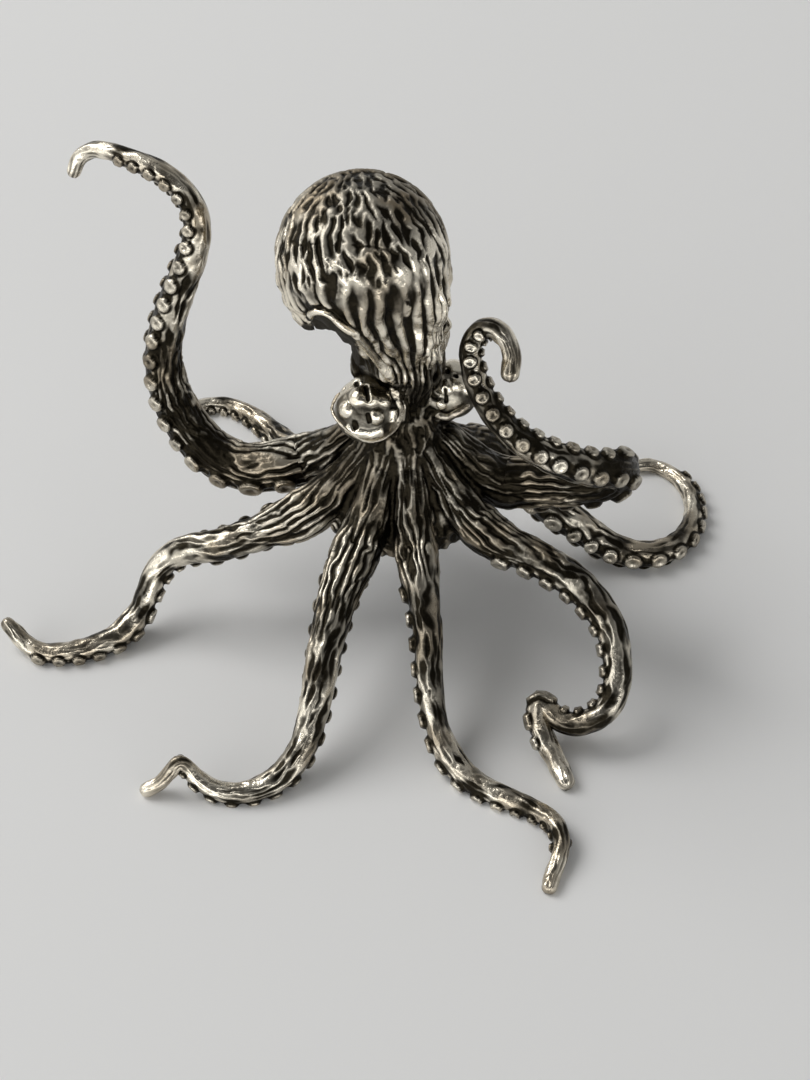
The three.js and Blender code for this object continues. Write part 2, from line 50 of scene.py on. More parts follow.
# Inside the web an arm comes down to its root by [distance from the axis, rise over the root]
CROWN_ROUTE = [[5, 7], [8.6, 2.7]]
CROWN_RADIUS = 1.9
CROWN_SHARE = 0.6
ARMS = [
    ("arm_back_left", 115, 14.2, 2.7, 0.8, 1.2, (0, 20), [
        [-1.6, 1.7, 8.6], [-3.4, 2.5, 5.6], [-5.4, 3.9, 3.2], [-7.7, 6.9, 1.6], [-10, 10.7, 0.6],
        [-12.4, 14.2, 0.1], [-15.4, 17.7, 0], [-18.8, 19.8, 0], [-22, 19.6, 0.3],
        [-24.4, 17.4, 1], [-25.2, 14.2, 1.2]]),
    ("arm_raised_left", 166, 17, 3.3, 0.85, 1, (25, 30), [
        [-2.8, -0.7, 13.9], [-6.6, -0.8, 13.6], [-10.8, 0.8, 14.2], [-13.9, 3, 16.4],
        [-16, 4, 20.6], [-16.9, 4.4, 25.3], [-16.7, 4.8, 30], [-15.6, 5.1, 34.6],
        [-14.2, 5.4, 38.8], [-12.8, 6.1, 42.4], [-12, 7.1, 45.3], [-12.2, 8, 48.4],
        [-13.6, 8.8, 51], [-16, 9.8, 52.8], [-19, 11.3, 53.5], [-22, 13, 53.6],
        [-24.4, 14.1, 53.1], [-25.9, 14.2, 52.1], [-26.7, 13.7, 50.5]]),
    ("arm_left", 203, 15.5, 3.1, 1.1, 1.3, (-60, 35), [
        [-4.4, -1, 11.2], [-8.2, -1.9, 10.4], [-11.7, -2.3, 9.7], [-14.8, -1.8, 8.9],
        [-17.4, -1.8, 7.5], [-19.1, -2.7, 5.6], [-20.2, -4.1, 3.6], [-21.4, -5.8, 1.7],
        [-23.8, -7.8, 0.3], [-27.2, -9.5, 0], [-30.6, -10.2, 0], [-33.3, -10, 0],
        [-35.4, -8.8, 0.6], [-37.3, -7.4, 2.2]]),
    ("arm_front_left", 245, 15.3, 3.1, 0.85, 1.3, (-25, 30), [
        [-1.1, -2.7, 12], [-2.4, -6.5, 10.8], [-3.3, -10, 9.5], [-4, -13.1, 7.9],
        [-4.6, -16, 6], [-5.3, -18.6, 4.1], [-6.2, -21, 2.4], [-8, -23.4, 1],
        [-10.5, -25.1, 0.2], [-13.5, -26, 0], [-16.3, -25.8, 0.3], [-18.5, -24.9, 1.3],
        [-19.8, -24.3, 2.8], [-20.7, -24.3, 3.8], [-21.6, -24.7, 2.9], [-23, -25.1, 1.2],
        [-24.7, -25.4, 0.2]]),
    ("arm_front_right", 279, 15.3, 2.6, 0.9, 1.3, (-25, -40), [
        [0.3, -2.4, 12.5], [0.8, -5.4, 11.1], [1.2, -8.5, 9.4], [1.4, -11.4, 7.4],
        [1.6, -14.1, 5.3], [2.1, -16.6, 3.3], [3.1, -19.1, 1.6], [4.6, -21.4, 0.5],
        [6.7, -23.5, 0], [9.3, -25.2, 0], [12.1, -26.6, 0], [14.6, -28.3, 0.3],
        [16.1, -30.4, 0.9], [16.6, -32.6, 1], [16.2, -34.7, 0.6], [15.5, -36.6, 0.2],
        [15, -38.4, 0]]),
    ("arm_right_front", 320, 15.9, 2.9, 1.1, 0.9, (-25, -30), [
        [2.8, -2.1, 13], [5.9, -4.1, 13.1], [9, -6.1, 12.8], [11.8, -8.2, 12.1],
        [14, -10.6, 11.1], [15.6, -13.1, 9.7], [16.2, -15.6, 7.9], [16.2, -18, 6],
        [15.2, -20, 4.4], [13.4, -21.1, 3.3], [11.1, -21.3, 2.7], [9.1, -20.6, 2.9],
        [7.8, -19.5, 3.6], [6.9, -19.2, 3.9], [6.7, -20.4, 3], [7.5, -22.1, 1.5],
        [8.6, -24, 0.5], [9.4, -25.8, 0], [9.9, -27.4, 0]]),
    ("arm_raised_right", 351, 17.8, 3.4, 1.1, 1.5, (30, 40), [
        [2.6, -0.5, 15.2], [5.9, -1.3, 16.2], [9.4, -2.2, 17.3], [12.3, -3.1, 18.7],
        [13.9, -3.9, 21], [13.2, -5.3, 23], [10.9, -7, 24.7], [7.7, -8.2, 26.9],
        [4.2, -8.5, 29.1], [1.2, -8.1, 31.4], [-1.2, -7, 33.7], [-2.9, -5.5, 36],
        [-4, -3.9, 38.3], [-4.3, -2.6, 40.5], [-3.5, -2.1, 42.5], [-1.9, -2.4, 43.6],
        [-0.4, -3.5, 43.1], [0.4, -5, 41.7], [0.2, -6.5, 40.4]]),
    ("arm_back_right", 38, 15, 2.7, 0.8, 1, (0, -45), [
        [2.8, 0.8, 10], [5.6, -0.8, 8.2], [8, -2.6, 6.4], [10.3, -3.7, 4.9],
        [12.6, -4.1, 3.3], [15.3, -4.7, 1.5], [18, -5.5, 0.3], [21.1, -6, 0],
        [24.1, -5.3, 0], [26.7, -3.1, 0], [28.4, 0.5, 0], [28.7, 4.4, 0], [27.8, 7.8, 0],
        [25.9, 10.3, 0.1], [23.6, 11.4, 0.3], [21.4, 11.2, 0.4]]),
]

# Suckers, in two rows on the underside of each arm, a little wider than on the castings
SUCKER_RADIUS = 1.05
SUCKER_HEIGHT = 0.7
SUCKER_PITCH = 3.4
SUCKER_SPREAD = 44
SUCKER_REACH = 0.9

# How much slimmer some arms are than their castings, midway where they stand clear of the table
SLIMMING = {
    "arm_left": 0.2, "arm_front_left": 0.1, "arm_front_right": 0.2, "arm_right_front": 0.16,
}

# How finely the skins are laid out: along and round an arm, and in cells where parts are
# melted together, which are then softened a few times
ALONG_STEP = 0.2
ROUND_STEP = 0.14
CELL = 0.2
SIPHON_CELL = 0.3
EYE_CELL = 0.12
SOFTENING = 3
# How finely the parts are laid out before they are melted together, and the end of a rod that
# is rounded, as a share of its length
LIMB_STEP = 0.1
TURNED_SIDES = 72
BALL_SIDES = 48
ROD_SIDES = 24
BELL_STEPS = 24
ROD_END = 1 / 16
# The block that cuts away all that lies beyond a plane
BLOCK = 120
# A distance that is farther than anything on the figurine
FAR = 99.0

# Each arm's skin starts this far inside the web and comes out of it where the two cross
ARM_BURIED = 4.6
CROSSING = -1.0
BURIED_DEPTH = 0.6

# The bark-like relief that was carved in the wax, and the height in it, from 0 in a pit to 1 on
# a ridge, that lies level with the casting
BARK_DEPTH = 0.42
BARK_LEVEL = 0.72
BARK_LENGTH = 2.3
ROOT_RIDGES = 16
TIP_RIDGES = 10
NECK_RIDGES = 40

# Head and web: how far the stubs run out from the arms' roots, and how much darker the web is
# painted, as shade between the arms
STUB_END = 2.6
WEB_SHADE = 0.38
# Ridges that run on from the neck down past the right eye
STRANDS = [
    [[1.6, -5.3, 39.2], [1.7, -4.6, 36.0], [1.5, -3.0, 32.8], [1.3, -2.6, 30.0]],
    [[2.7, -4.6, 39.4], [2.9, -4.0, 36.0], [2.8, -2.6, 33.0], [2.7, -2.4, 30.6]],
    [[3.9, -3.6, 39.4], [4.1, -2.8, 36.4], [4.2, -1.8, 34.2], [4.2, -1.6, 32.6]],
]
STRAND_RADII = [0.3, 0.75, 0.75, 0.4]
NECK_X = -0.3
NECK_RADIUS = 5.6
SEAM_HEIGHT = 37.5
# Sections of the head from the web's edge up to the neck: [x, y, height, radius in x, radius in y]
HEAD_SECTIONS = [
    [0, 0, 12.46, 9.89, 9.89], [0, 0, 14.6, 10.2, 10.2], [0, 0, 17.1, 9.2, 9.2],
    [0, 0, 20.9, 7.2, 7.2], [0, 0, 26, 5.2, 5.2], [1.05, 1.6, 29.9, 4.3, 4.3],
    [-0.3, 1.6, 33.2, 5.6, 4], [-0.3, 0, 37.0, 5.4, 5.35], [-0.3, 0, 38.4, 4.9, 4.9],
]
# The hollow under the web, from its ceiling to its mouth: [height, radius]
HOLLOW = [[18.1, 0], [17.6, 2.0], [15.82, 5.6], [13.6, 7.6], [12.4, 8.0]]
HEAD_MIDDLE = Vector((1.05, -0.4, 29.9))
# The line through both eyes is turned by this many degrees, and the eyes face forward and up
EYE_TURN = 19
EYE_SPACING = 10.75
EYE_FORWARD = 0.6
EYE_UPWARD = 0.5
LEFT_EYE_RADIUS = 4.05
RIGHT_EYE_RADIUS = 3.5
# The rolled rims under the eyes
LEFT_RIM = [
    [-7.09, -2.29, 32.99], [-7.82, -2.6, 31.99], [-8.19, -3.05, 30.8], [-7.57, -4.62, 30.46],
    [-6.61, -5.65, 30.12], [-5.66, -6.17, 29.64], [-4.6, -6.32, 28.81], [-3.54, -6.23, 28.48],
    [-2.47, -5.95, 28.46], [-1.52, -5.53, 28.8], [-0.57, -4.71, 29.26], [0.02, -3.72, 29.97],
    [0.08, -3.06, 30.98], [-0.33, -2.59, 32.14], [-1.04, -2.01, 33.06],
]
LEFT_RIM_RADII = [0.24] * 15
RIGHT_RIM = [
    [2.91, -1.53, 26.69], [3.64, -0.87, 27.4], [4.7, -2.12, 28.85], [5.59, -2.36, 28.82],
    [6.48, -2.52, 29.53], [7.31, -2.37, 30.03], [8.27, -1.85, 30.53],
]
RIGHT_RIM_RADII = [0.5, 0.42, 0.5, 0.42, 0.5, 0.42, 0.4]
BOSS_RISE = 0.42
BROW_THICKNESS = 0.35
BROW_INSET = 2.2
SIPHON = {"root": (1.05, 1.6, 29.9), "bend": (1.05, 7.5, 29.9), "end": (1.05, 10.4, 31.9)}
SIPHON_RADIUS = 1.9
SIPHON_BORE = 1.0

# Mantle
BULB_RADIUS = 9.9
BULB_RISE = 9.7
BULB_MIDDLE = Vector((-4.35, 0, 51.4))
HOOD_LENGTH = 19
HOOD_RADIUS = 6.4
HOOD_BOTTOM = 34.8
HOOD_LEAN = Vector((0.11, 0.06, -0.965)).normalized()
MANTLE_WALL = 1.3
POCKET_RISE = 2
MOUTH_POINT = Vector((-11.2, 0, 39.9))
MOUTH_FACING = Vector((0.133, -0.77, -0.62)).normalized()
LOBE_POINT = Vector((-10.3, 0, 40.2))
LOBE_FACING = Vector((-0.6, -0.2, -0.775))
PLATE_DEPTH = 3.6
PLATE_INSET = 0.1
# How deep the neck is sunk at its seam, and how far its foot then drops and draws in
SEAM_SINK = 0.3
FOOT_DROP = 0.8
FOOT_INSET = 0.5
PLATE_PROFILE = [
    [0, 0, 0], [0.2, 0, 0.1], [0.4, 0.2, 0.45], [0.6, 0.32, 0.8], [0.85, 0.75, 1], [1.4, 1, 1],
]
# The carved ridges fan out over the bulb from one point and run together down the neck
FAN_TOP = np.array([-5.8, 6.1, 59.0])
FAN_BOTTOM = np.array([-0.3, 0.0, 36.0])
# The number of ridges round the bulb grows with the distance from the fan's middle line:
# [ridges, distance where they start, distance where they are all there is]
FAN_STEPS = [(18, 0, 0.1), (28, 3.6, 4.4), (42, 6.2, 7.2), (60, 8.9, 10.3)]
# How far from the fan's top the bulb's bark turns into the neck's long ridges
NECK_RUN = (13, 20)
# The heights between which the mantle's front turns from matte to polished, and between which
# the broad, bright wear of the neck sets in
POLISHED_HEIGHTS = (60, 54)
WORN_HEIGHTS = (52, 46)
# The rolled lip of the mantle's mouth
LIP = [
    [-11.2, -6.5, 47.6], [-10.8, -7.4, 48.9], [-10.0, -8.3, 50.0], [-9.0, -8.85, 50.35],
    [-8.1, -9.24, 50.2], [-7.4, -9.38, 49.55], [-6.6, -9.5, 48.85], [-5.9, -9.54, 48.25],
    [-5.1, -9.5, 47.5],
]
LIP_RADII = [0.7] + [0.34] * 7 + [0.2]
# The strand that runs on from the lip, down the left edge of the ridges on the neck's front,
# and that edge as [degrees round the neck, height]
BUNDLE = [
    [-5.12, -9.3, 47.42], [-4.69, -8.8, 46.4], [-4.15, -8.14, 44.95], [-3.61, -7.31, 43.35],
    [-2.95, -6.09, 41.25], [-2.39, -5.54, 39.71], [-1.82, -5.5, 38.66], [-1.25, -5.3, 37.55],
]
BUNDLE_RADII = [0.42] * 8
BUNDLE_EDGE = [[-100, 37], [-105, 38.7], [-117, 41], [-125, 44], [-127, 47]]
CRACKS = [
    [[-5.32, -6.82, 58.34], [-4.44, -7.02, 58.22], [-3.56, -6.96, 58.24], [-2.58, -6.93, 58.09],
     [-1.59, -6.94, 57.74], [-0.82, -7.0, 57.3], [-0.16, -6.86, 57.05]],
    [[-12.33, -3.25, 56.12], [-11.5, -4.38, 56.5], [-10.69, -5.11, 56.87], [-9.78, -5.52, 57.4],
     [-8.87, -5.82, 57.84]],
]
SMALL_BOSS = [-7.67, -3.07, 60.0]
PALE_PATCH = [0.85, -8.4, 50.4]
# The neck's left side lies this deep, with one raised lump that carries a painted highlight
SIDE_SINK = 0.7
NECK_GLINT = [-4.7, -3.4, 40.3]
# How far the bulb's outer corner below the lip is tucked in
LOBE_TUCK = 1.2
# The flesh that closes the mantle's mouth behind the lip, which is painted dark as shade
MOUTH_FLESH = [[-11.2, -5.4, 46.3], [-9.2, -5.1, 46.35], [-7.5, -4.7, 46.15], [-5.9, -4.5, 45.9]]
MOUTH_FLESH_RADII = [1.05, 1.25, 1.35, 1.4]


# Random numbers and patterns

def scatter(i, j, seed):
    """A fixed random number from 0 to 1 for each whole i and j."""
    mixed = (i.astype(np.int64) * 374761393 + j.astype(np.int64) * 668265263
             + seed * 1442695041) & 0xFFFFFFFF
    mixed = ((mixed ^ (mixed >> 13)) * 1274126177) & 0xFFFFFFFF
    mixed = ((mixed ^ (mixed >> 16)) * 2246822519) & 0xFFFFFFFF
    return (mixed ^ (mixed >> 15)) / 0xFFFFFFFF


def smooth(low, high, value):
    """0 below low, 1 above high, and a soft step between them."""
    share = np.clip((value - low) / (high - low), 0, 1)
    return share * share * (3 - 2 * share)


def blend(first, second, share):
    """The first where the share is 0, the second where it is 1, and a mix in between."""
    return first * (1 - share) + second * share


def lengths(vectors):
    """The length of each vector in a table of them."""
    return np.linalg.norm(vectors, axis=1)


def waves(along, across, ridges, seed):
    """Soft random waves from -1 to 1, which close after so many cells across."""
    i, j = np.floor(along), np.floor(across)
    a, b = along - i, across - j
    a, b = a * a * (3 - 2 * a), b * b * (3 - 2 * b)
    j0, j1 = np.mod(j, ridges), np.mod(j + 1, ridges)
    low = blend(scatter(i, j0, seed), scatter(i, j1, seed), b)
    high = blend(scatter(i + 1, j0, seed), scatter(i + 1, j1, seed), b)
    return 2 * blend(low, high, a) - 1


def pits(along, across, lanes, seed):
    """How deep a place lies in long pits with pointed ends, one to each cell of each lane."""
    i, j = np.floor(along), np.floor(across)
    sunk = np.zeros(along.shape)
    for step_i in (-1, 0, 1):
        for step_j in (-1, 0, 1):
            a, b = i + step_i, j + step_j
            lane = np.mod(b, lanes)
            # Where the place lies in the pit, from its middle, with the pit askew by chance
            x = along - a - 0.5 - 0.6 * (scatter(a, lane, seed) - 0.5)
            y = across - b - 0.5 - 0.45 * (scatter(a, lane, seed + 1) - 0.5)
            y = y - 0.8 * (scatter(a, lane, seed + 4) - 0.5) * x
            long = 0.4 + 0.26 * scatter(a, lane, seed + 2)
            wide = 0.27 + 0.2 * scatter(a, lane, seed + 3)
            away = np.abs(x / long) ** 1.6 + np.abs(y / wide) ** 1.6
            depth = 0.7 + 0.3 * scatter(a, lane, seed + 5)
            sunk = np.maximum(sunk, smooth(1.5, 0.25, away) * depth)
    return sunk


def lumps(points, size, seed):
    """Soft random lumps from -1 to 1 that are about so many mm apart."""
    x, y, z = (points / size).T
    never = 10 ** 6
    return (waves(x, y + 0.7 * z, never, seed) + waves(y, z + 0.7 * x, never, seed + 1)
            + waves(z, x + 0.7 * y, never, seed + 2)) / 1.8


def bark(run, turn, ridges, seed, length=BARK_LENGTH, fine=0.8):
    """Relief of long ridges with pits between them: 1 on a ridge, 0 at the bottom of a pit.

    run is in millimetres along the ridges and turn goes from 0 to 1 round them."""
    across = np.mod(turn, 1.0) * ridges
    along = run / length
    sway = (0.5 * waves(along * 0.9, across * 0.5, ridges * 0.5, seed + 7)
            + 0.22 * waves(along * 3.7, across, ridges, seed + 9))
    drift = 0.25 * waves(along * 1.3, across * 2, ridges * 2, seed + 17)
    large = pits(along + drift, across + sway, ridges, seed)
    small = pits(along * 1.9 + 5, across * 1.5 + 1.5 * sway, ridges * 1.5, seed + 31)
    small = small * smooth(0.3, 0.7, waves(along * 1.5, across, ridges, seed + 23))
    return np.clip(1 - np.maximum(large, fine * small), 0, 1)


def cords(run, turn, count, seed, breaks=0.75):
    """Relief of rounded cords side by side, which sway and here and there sink by breaks."""
    across = np.mod(turn, 1.0) * count
    sway = (0.9 * waves(run * 0.2, across * 0.5, count * 0.5, seed)
            + 0.3 * waves(run * 0.7, across, count, seed + 1))
    crest = 0.5 + 0.5 * np.cos(2 * np.pi * (across + sway))
    broken = smooth(0.35, 0.8, waves(run * 0.35 + 3, across, count, seed + 2))
    beaded = 1.05 + 0.2 * waves(run * 0.55, across, count, seed + 3)
    return np.clip(crest * beaded, 0, 1) * (1 - breaks * broken)


# Curves and limbs

def on_spline(points, places):
    """Points and directions on a centripetal curve through points, at the given places."""
    ends = np.vstack([2 * points[0] - points[1], points, 2 * points[-1] - points[-2]])
    station = np.minimum(places.astype(int), len(points) - 2)
    share = (places - station)[:, None]
    x0, x1, x2, x3 = (ends[station + k] for k in range(4))
    dt0, dt1, dt2 = (np.sqrt(lengths(b - a))[:, None]
                     for a, b in ((x0, x1), (x1, x2), (x2, x3)))
    t1 = ((x1 - x0) / dt0 - (x2 - x0) / (dt0 + dt1) + (x2 - x1) / dt1) * dt1
    t2 = ((x2 - x1) / dt1 - (x3 - x1) / (dt1 + dt2) + (x3 - x2) / dt2) * dt1
    c2 = -3 * x1 + 3 * x2 - 2 * t1 - t2
    c3 = 2 * x1 - 2 * x2 + t1 + t2
    point = x1 + share * (t1 + share * (c2 + share * c3))
    way = t1 + share * (2 * c2 + 3 * share * c3)
    return point, way / lengths(way)[:, None]


def limb(arm):
    """The limb from inside the head to its tip, as a table of places a small step apart."""
    name, heading, root_height, root_radius, tip_radius, taper, roll, route = arm
    outward = np.array([math.cos(math.radians(heading)), math.sin(math.radians(heading)), 0])
    up = np.array([0, 0, 1])
    root = outward * RING_RADIUS + up * root_height
    places = [np.array([0, 0, root_height - root_radius])] + [np.array(at) for at in route]
    runs = np.cumsum([0] + [np.linalg.norm(b - a) for a, b in zip(places, places[1:])])
    radii = tip_radius + (root_radius - tip_radius) * (1 - runs / runs[-1]) ** taper
    crown = [outward * away + up * (root_height + rise) for away, rise in CROWN_ROUTE]
    stations = [np.array([root[0] + x, root[1] + y, lift + radius - FOOT_FLAT])
                for (x, y, lift), radius in zip(route, radii[1:])]
    points = np.array(crown + [root] + stations)
    shoulder = CROWN_RADIUS + (root_radius - CROWN_RADIUS) * CROWN_SHARE
    limb_radii = np.concatenate([[CROWN_RADIUS, shoulder], radii])
    rough = np.linspace(0, len(points) - 1, 40 * len(points))
    centre, _ = on_spline(points, rough)
    run = np.concatenate([[0], np.cumsum(lengths(np.diff(centre, axis=0)))])
    root_run = np.interp(len(crown), rough, run)
    even = np.linspace(0, run[-1], int(run[-1] / LIMB_STEP) + 1)
    at = np.interp(even, run, rough)
    centre, way = on_spline(points, at)
    belly = np.empty_like(centre)
    plain = np.array([0.0, 0.0, -1.0])
    for i in range(len(at)):
        plain = plain - way[i] * plain.dot(way[i])
        plain /= np.linalg.norm(plain)
        belly[i] = plain
    side = np.cross(way, belly)
    share = np.clip((even - root_run) / (run[-1] - root_run), 0, 1)
    angle = np.radians(roll[0] + (roll[1] - roll[0]) * share)[:, None]
    belly = belly * np.cos(angle) + side * np.sin(angle)
    return {
        "name": name, "run": even - root_run, "centre": centre, "way": way, "belly": belly,
        "side": np.cross(way, belly), "radius": np.interp(at, np.arange(len(points)), limb_radii),
        "root_radius": root_radius, "tip_radius": tip_radius, "seed": 17 * (heading % 97),
    }


def sucker_places(one):
    """Where the suckers stand: [run, angle from the belly, size]."""
    found = []
    end = one["run"][-1] * SUCKER_REACH
    run, spread = SUCKER_PITCH * 0.9, SUCKER_SPREAD
    while run < end:
        size = math.sqrt(np.interp(run, one["run"], one["radius"]) / one["root_radius"])
        found.append((run, math.radians(spread), size))
        run += SUCKER_PITCH * size / 2
        spread = -spread
    return found


def limb_relief(one, run, turn, radius):
    """Bark on a limb, from 0 in a pit to 1 on a ridge, coarser where the limb is thin."""
    long = cords(run, turn, ROOT_RIDGES, one["seed"])
    pitted = bark(run, turn, ROOT_RIDGES, one["seed"] + 5, BARK_LENGTH * 1.6, 0.5)
    bare = smooth(0.05, 0.5, waves(run * 0.16, turn * 3, 3, one["seed"] + 21))
    coarse = np.clip(long + 0.6 * pitted - 0.35, 0, 1) * (1 - 0.5 * bare)
    slim = bark(run, turn, TIP_RIDGES, one["seed"] + 3, BARK_LENGTH * 1.5, 0.4)
    thick = smooth(1.9, 2.6, radius)
    return blend(slim, coarse, thick)


# Skins

def wrapped_skin(name, rows, columns, wrap):
    """A grid rolled into a closed skin: wrap gives the places for shares along and round."""
    sheet, along, around = flat_grid(rows, columns)
    places, relief, polish = wrap(along, around)
    places = (places + BODY_AXIS) * MM
    carved_in = sheet.verts.layers.float.new("relief")
    rubbed = sheet.verts.layers.float.new("polish")
    for vertex, place, height, shine in zip(sheet.verts, places, relief, polish):
        vertex.co = place
        vertex[carved_in] = height
        vertex[rubbed] = shine
    close_up(sheet, 2e-6)
    for face in sheet.faces:
        face.smooth = True
    return new_piece(name, kept(sheet, name))


def flat_grid(rows, columns):
    """A flat grid, and the share of the way along it and across it for each of its points."""
    sheet = bmesh.new()
    bmesh.ops.create_grid(sheet, x_segments=rows, y_segments=columns, size=0.5)
    grid = np.array([v.co for v in sheet.verts]) + 0.5
    return sheet, grid[:, 0], grid[:, 1]


def close_up(solid, near):
    """Joins the points that meet, and turns all faces outwards."""
    bmesh.ops.remove_doubles(solid, verts=solid.verts, dist=near)
    bmesh.ops.recalc_face_normals(solid, faces=solid.faces)


def kept(solid, name="work"):
    """The mesh of a solid or a sheet that has been worked on."""
    mesh = bpy.data.meshes.new(name)
    solid.to_mesh(mesh)
    solid.free()
    return mesh


def new_piece(name, mesh):
    """A new piece of the scene with this mesh."""
    piece = bpy.data.objects.new(name, mesh)
    bpy.context.scene.collection.objects.link(piece)
    return piece


def arm_skin(one):
    """One arm with its bark, its suckers and its rounded tip."""
    start = -ARM_BURIED
    tip = one["radius"][-1]
    end = one["run"][-1]
    length = end + tip - start

    def wrap(u, v):
        run = start + u * length
        held = np.minimum(run, end)
        centre, way, belly, side = (
            np.stack([np.interp(held, one["run"], one[key][:, k]) for k in range(3)], 1)
            for key in ("centre", "way", "belly", "side"))
        radius = np.interp(held, one["run"], one["radius"])
        clear = centre[:, 2] - radius
        slim = SLIMMING.get(one["name"], 0) * smooth(0.4, 2.5, clear) * smooth(1, 7, run)
        radius = radius * (1 - slim)
        angle = 2 * np.pi * v
        height, relief, polish = arm_bark(one, run, held, v, radius)
        raise_suckers(one, run, angle, radius, height, relief, polish)
        tucked = BURIED_DEPTH * np.clip((CROSSING - run) / (CROSSING + ARM_BURIED), 0, 1)
        over = np.clip((run - end) / tip, 0, 1)
        total = (radius + height - tucked) * np.sqrt(1 - over ** 2)
        total = np.where(u <= 0, 0, total)
        places = (centre + way * (over * tip)[:, None]
                  + belly * (total * np.cos(angle))[:, None]
                  + side * (total * np.sin(angle))[:, None])
        places[:, 2] = np.maximum(places[:, 2], 0)
        return places, relief, polish

    columns = int(2 * np.pi * one["root_radius"] / ROUND_STEP)
    rows = int(length / ALONG_STEP)
    return wrapped_skin(one["name"] + "_skin", rows, columns, wrap)


def arm_bark(one, run, held, turn, radius):
    """The bark on an arm, as its height in mm, its relief and its polish."""
    seed = one["seed"]
    relief = limb_relief(one, held, turn, radius)
    barky = smooth(1.25, 2.5, radius + 0.35 * waves(run * 0.3, turn * 3, 3, seed + 41))
    relief = 1 - (1 - relief) * (0.45 + 0.55 * barky)
    polish = 0.85 - 0.5 * barky
    belly = smooth(0.35, 0.8, np.cos(2 * np.pi * turn)) * smooth(0.5, 5, run)
    depth = BARK_DEPTH * (0.25 + 0.75 * barky) * (1 - 0.6 * belly)
    height = (relief - BARK_LEVEL) * depth + 0.08 * waves(run * 0.8, turn * 12, 12, seed + 5)
    # Tarnish lies in patches, but not at the root or near the tip
    tarnish = smooth(-0.1, 0.5, waves(run * 0.3, turn * 4, 4, seed + 43)) * (1 - 0.4 * barky)
    tarnish *= smooth(1, 9, one["run"][-1] - run) * smooth(0, 6, run)
    # Painted shade: the underside of the arm is darker, and the tarnish patches darken it as well
    relief *= (1 - (0.1 + 0.2 * barky) * belly) * (1 - 0.5 * tarnish)
    return height, relief, polish


def raise_suckers(one, run, angle, radius, height, relief, polish):
    """Works the suckers into an arm's bark, each a bright rimmed cup ringed by painted shade."""
    for place, spread, size in sucker_places(one):
        near = np.abs(run - place) < 2.5
        off = np.mod(angle[near] - spread + np.pi, 2 * np.pi) - np.pi
        away = np.hypot(run[near] - place, radius[near] * off) / (SUCKER_RADIUS * size)
        cup = smooth(1.3, 0.85, away) - 0.4 * smooth(0.6, 0.15, away)
        inside = smooth(1.3, 1.05, away)
        # Painted shade: a dark ring round each cup, where the sucker meets the arm
        gutter_shade = smooth(1.65, 1.35, away) * (1 - inside)
        height[near] = height[near] * (1 - inside) + SUCKER_HEIGHT * size * cup
        polish[near] = np.maximum(polish[near], 0.65 * inside)
        bright = relief[near] * (1 - inside) + 0.72 * inside * smooth(0.2, 0.8, cup)
        relief[near] = bright * (1 - 0.55 * gutter_shade)


# Solids that are melted together and carved

def lathe(outline, lean, middle):
    """A closed solid turned from an outline of [radius, height], leaned over and set in place."""
    solid = bmesh.new()
    points = [solid.verts.new((radius, 0, height)) for radius, height in outline]
    edges = [solid.edges.new(pair) for pair in zip(points, points[1:])]
    bmesh.ops.spin(solid, geom=points + edges, cent=(0, 0, 0), axis=(0, 0, 1),
                   angle=2 * math.pi, steps=TURNED_SIDES, use_merge=True)
    close_up(solid, 1e-4)
    turn = Vector((0, 0, -1)).rotation_difference(lean).to_matrix()
    bmesh.ops.rotate(solid, verts=solid.verts, cent=(0, 0, 0), matrix=turn)
    bmesh.ops.translate(solid, verts=solid.verts, vec=middle)
    return kept(solid)


def stack(sections, first, last):
    """A closed skin over level ellipses, smooth from one to the next, from first to last."""
    table = np.array(sections, float)
    at = np.arange(len(table))

    def wrap(u, v):
        place = u * (len(table) - 1)
        x, y, z, radius_x, radius_y = (gentle(place, at, table[:, k]) for k in range(5))
        angle = 2 * np.pi * v
        ring = x + radius_x * np.cos(angle), y + radius_y * np.sin(angle), z
        shut = (u > 1e-6) & (u < 1 - 1e-6)
        return np.stack([np.where(shut, side, np.where(u < 0.5, low, high))
                         for side, low, high in zip(ring, first, last)], 1)

    return rolled(wrap, 10 * len(table), TURNED_SIDES)


def gentle(place, at, values):
    """A curve through values that doesn't overshoot them."""
    slope = np.diff(values)
    bend = np.where(slope[:-1] * slope[1:] > 0,
                    2 * slope[:-1] * slope[1:] / (slope[:-1] + slope[1:] + 1e-12), 0)
    tangent = np.concatenate([[slope[0]], bend, [slope[-1]]])
    k = np.clip(place.astype(int), 0, len(at) - 2)
    t = place - k
    return ((2 * t ** 3 - 3 * t ** 2 + 1) * values[k] + (t ** 3 - 2 * t ** 2 + t) * tangent[k]
            + (3 * t ** 2 - 2 * t ** 3) * values[k + 1] + (t ** 3 - t ** 2) * tangent[k + 1])


def rolled(wrap, rows, columns):
    """A grid rolled up into a closed skin, in millimetres."""
    sheet, along, around = flat_grid(rows, columns)
    for vertex, place in zip(sheet.verts, wrap(along, around)):
        vertex.co = place
    close_up(sheet, 1e-3)
    return kept(sheet)


def rod(points, radii):
    """A round rod with rounded ends along a curve."""
    points, radii = np.array(points, float), np.array(radii, float)

    def wrap(u, v):
        reach = u * (len(points) - 1)
        centre, way = on_spline(points, reach)
        across = np.cross(way, [0.31, 0.11, 0.94])
        across /= lengths(across)[:, None]
        other = np.cross(way, across)
        size = np.interp(reach, np.arange(len(points)), radii)
        into_end = np.clip(1 - np.minimum(u, 1 - u) / ROD_END, 0, 1)
        size = size * np.sqrt(1 - into_end ** 2)
        angle = 2 * np.pi * v
        return (centre + across * (size * np.cos(angle))[:, None]
                + other * (size * np.sin(angle))[:, None])

    return rolled(wrap, 12 * len(points), ROD_SIDES)


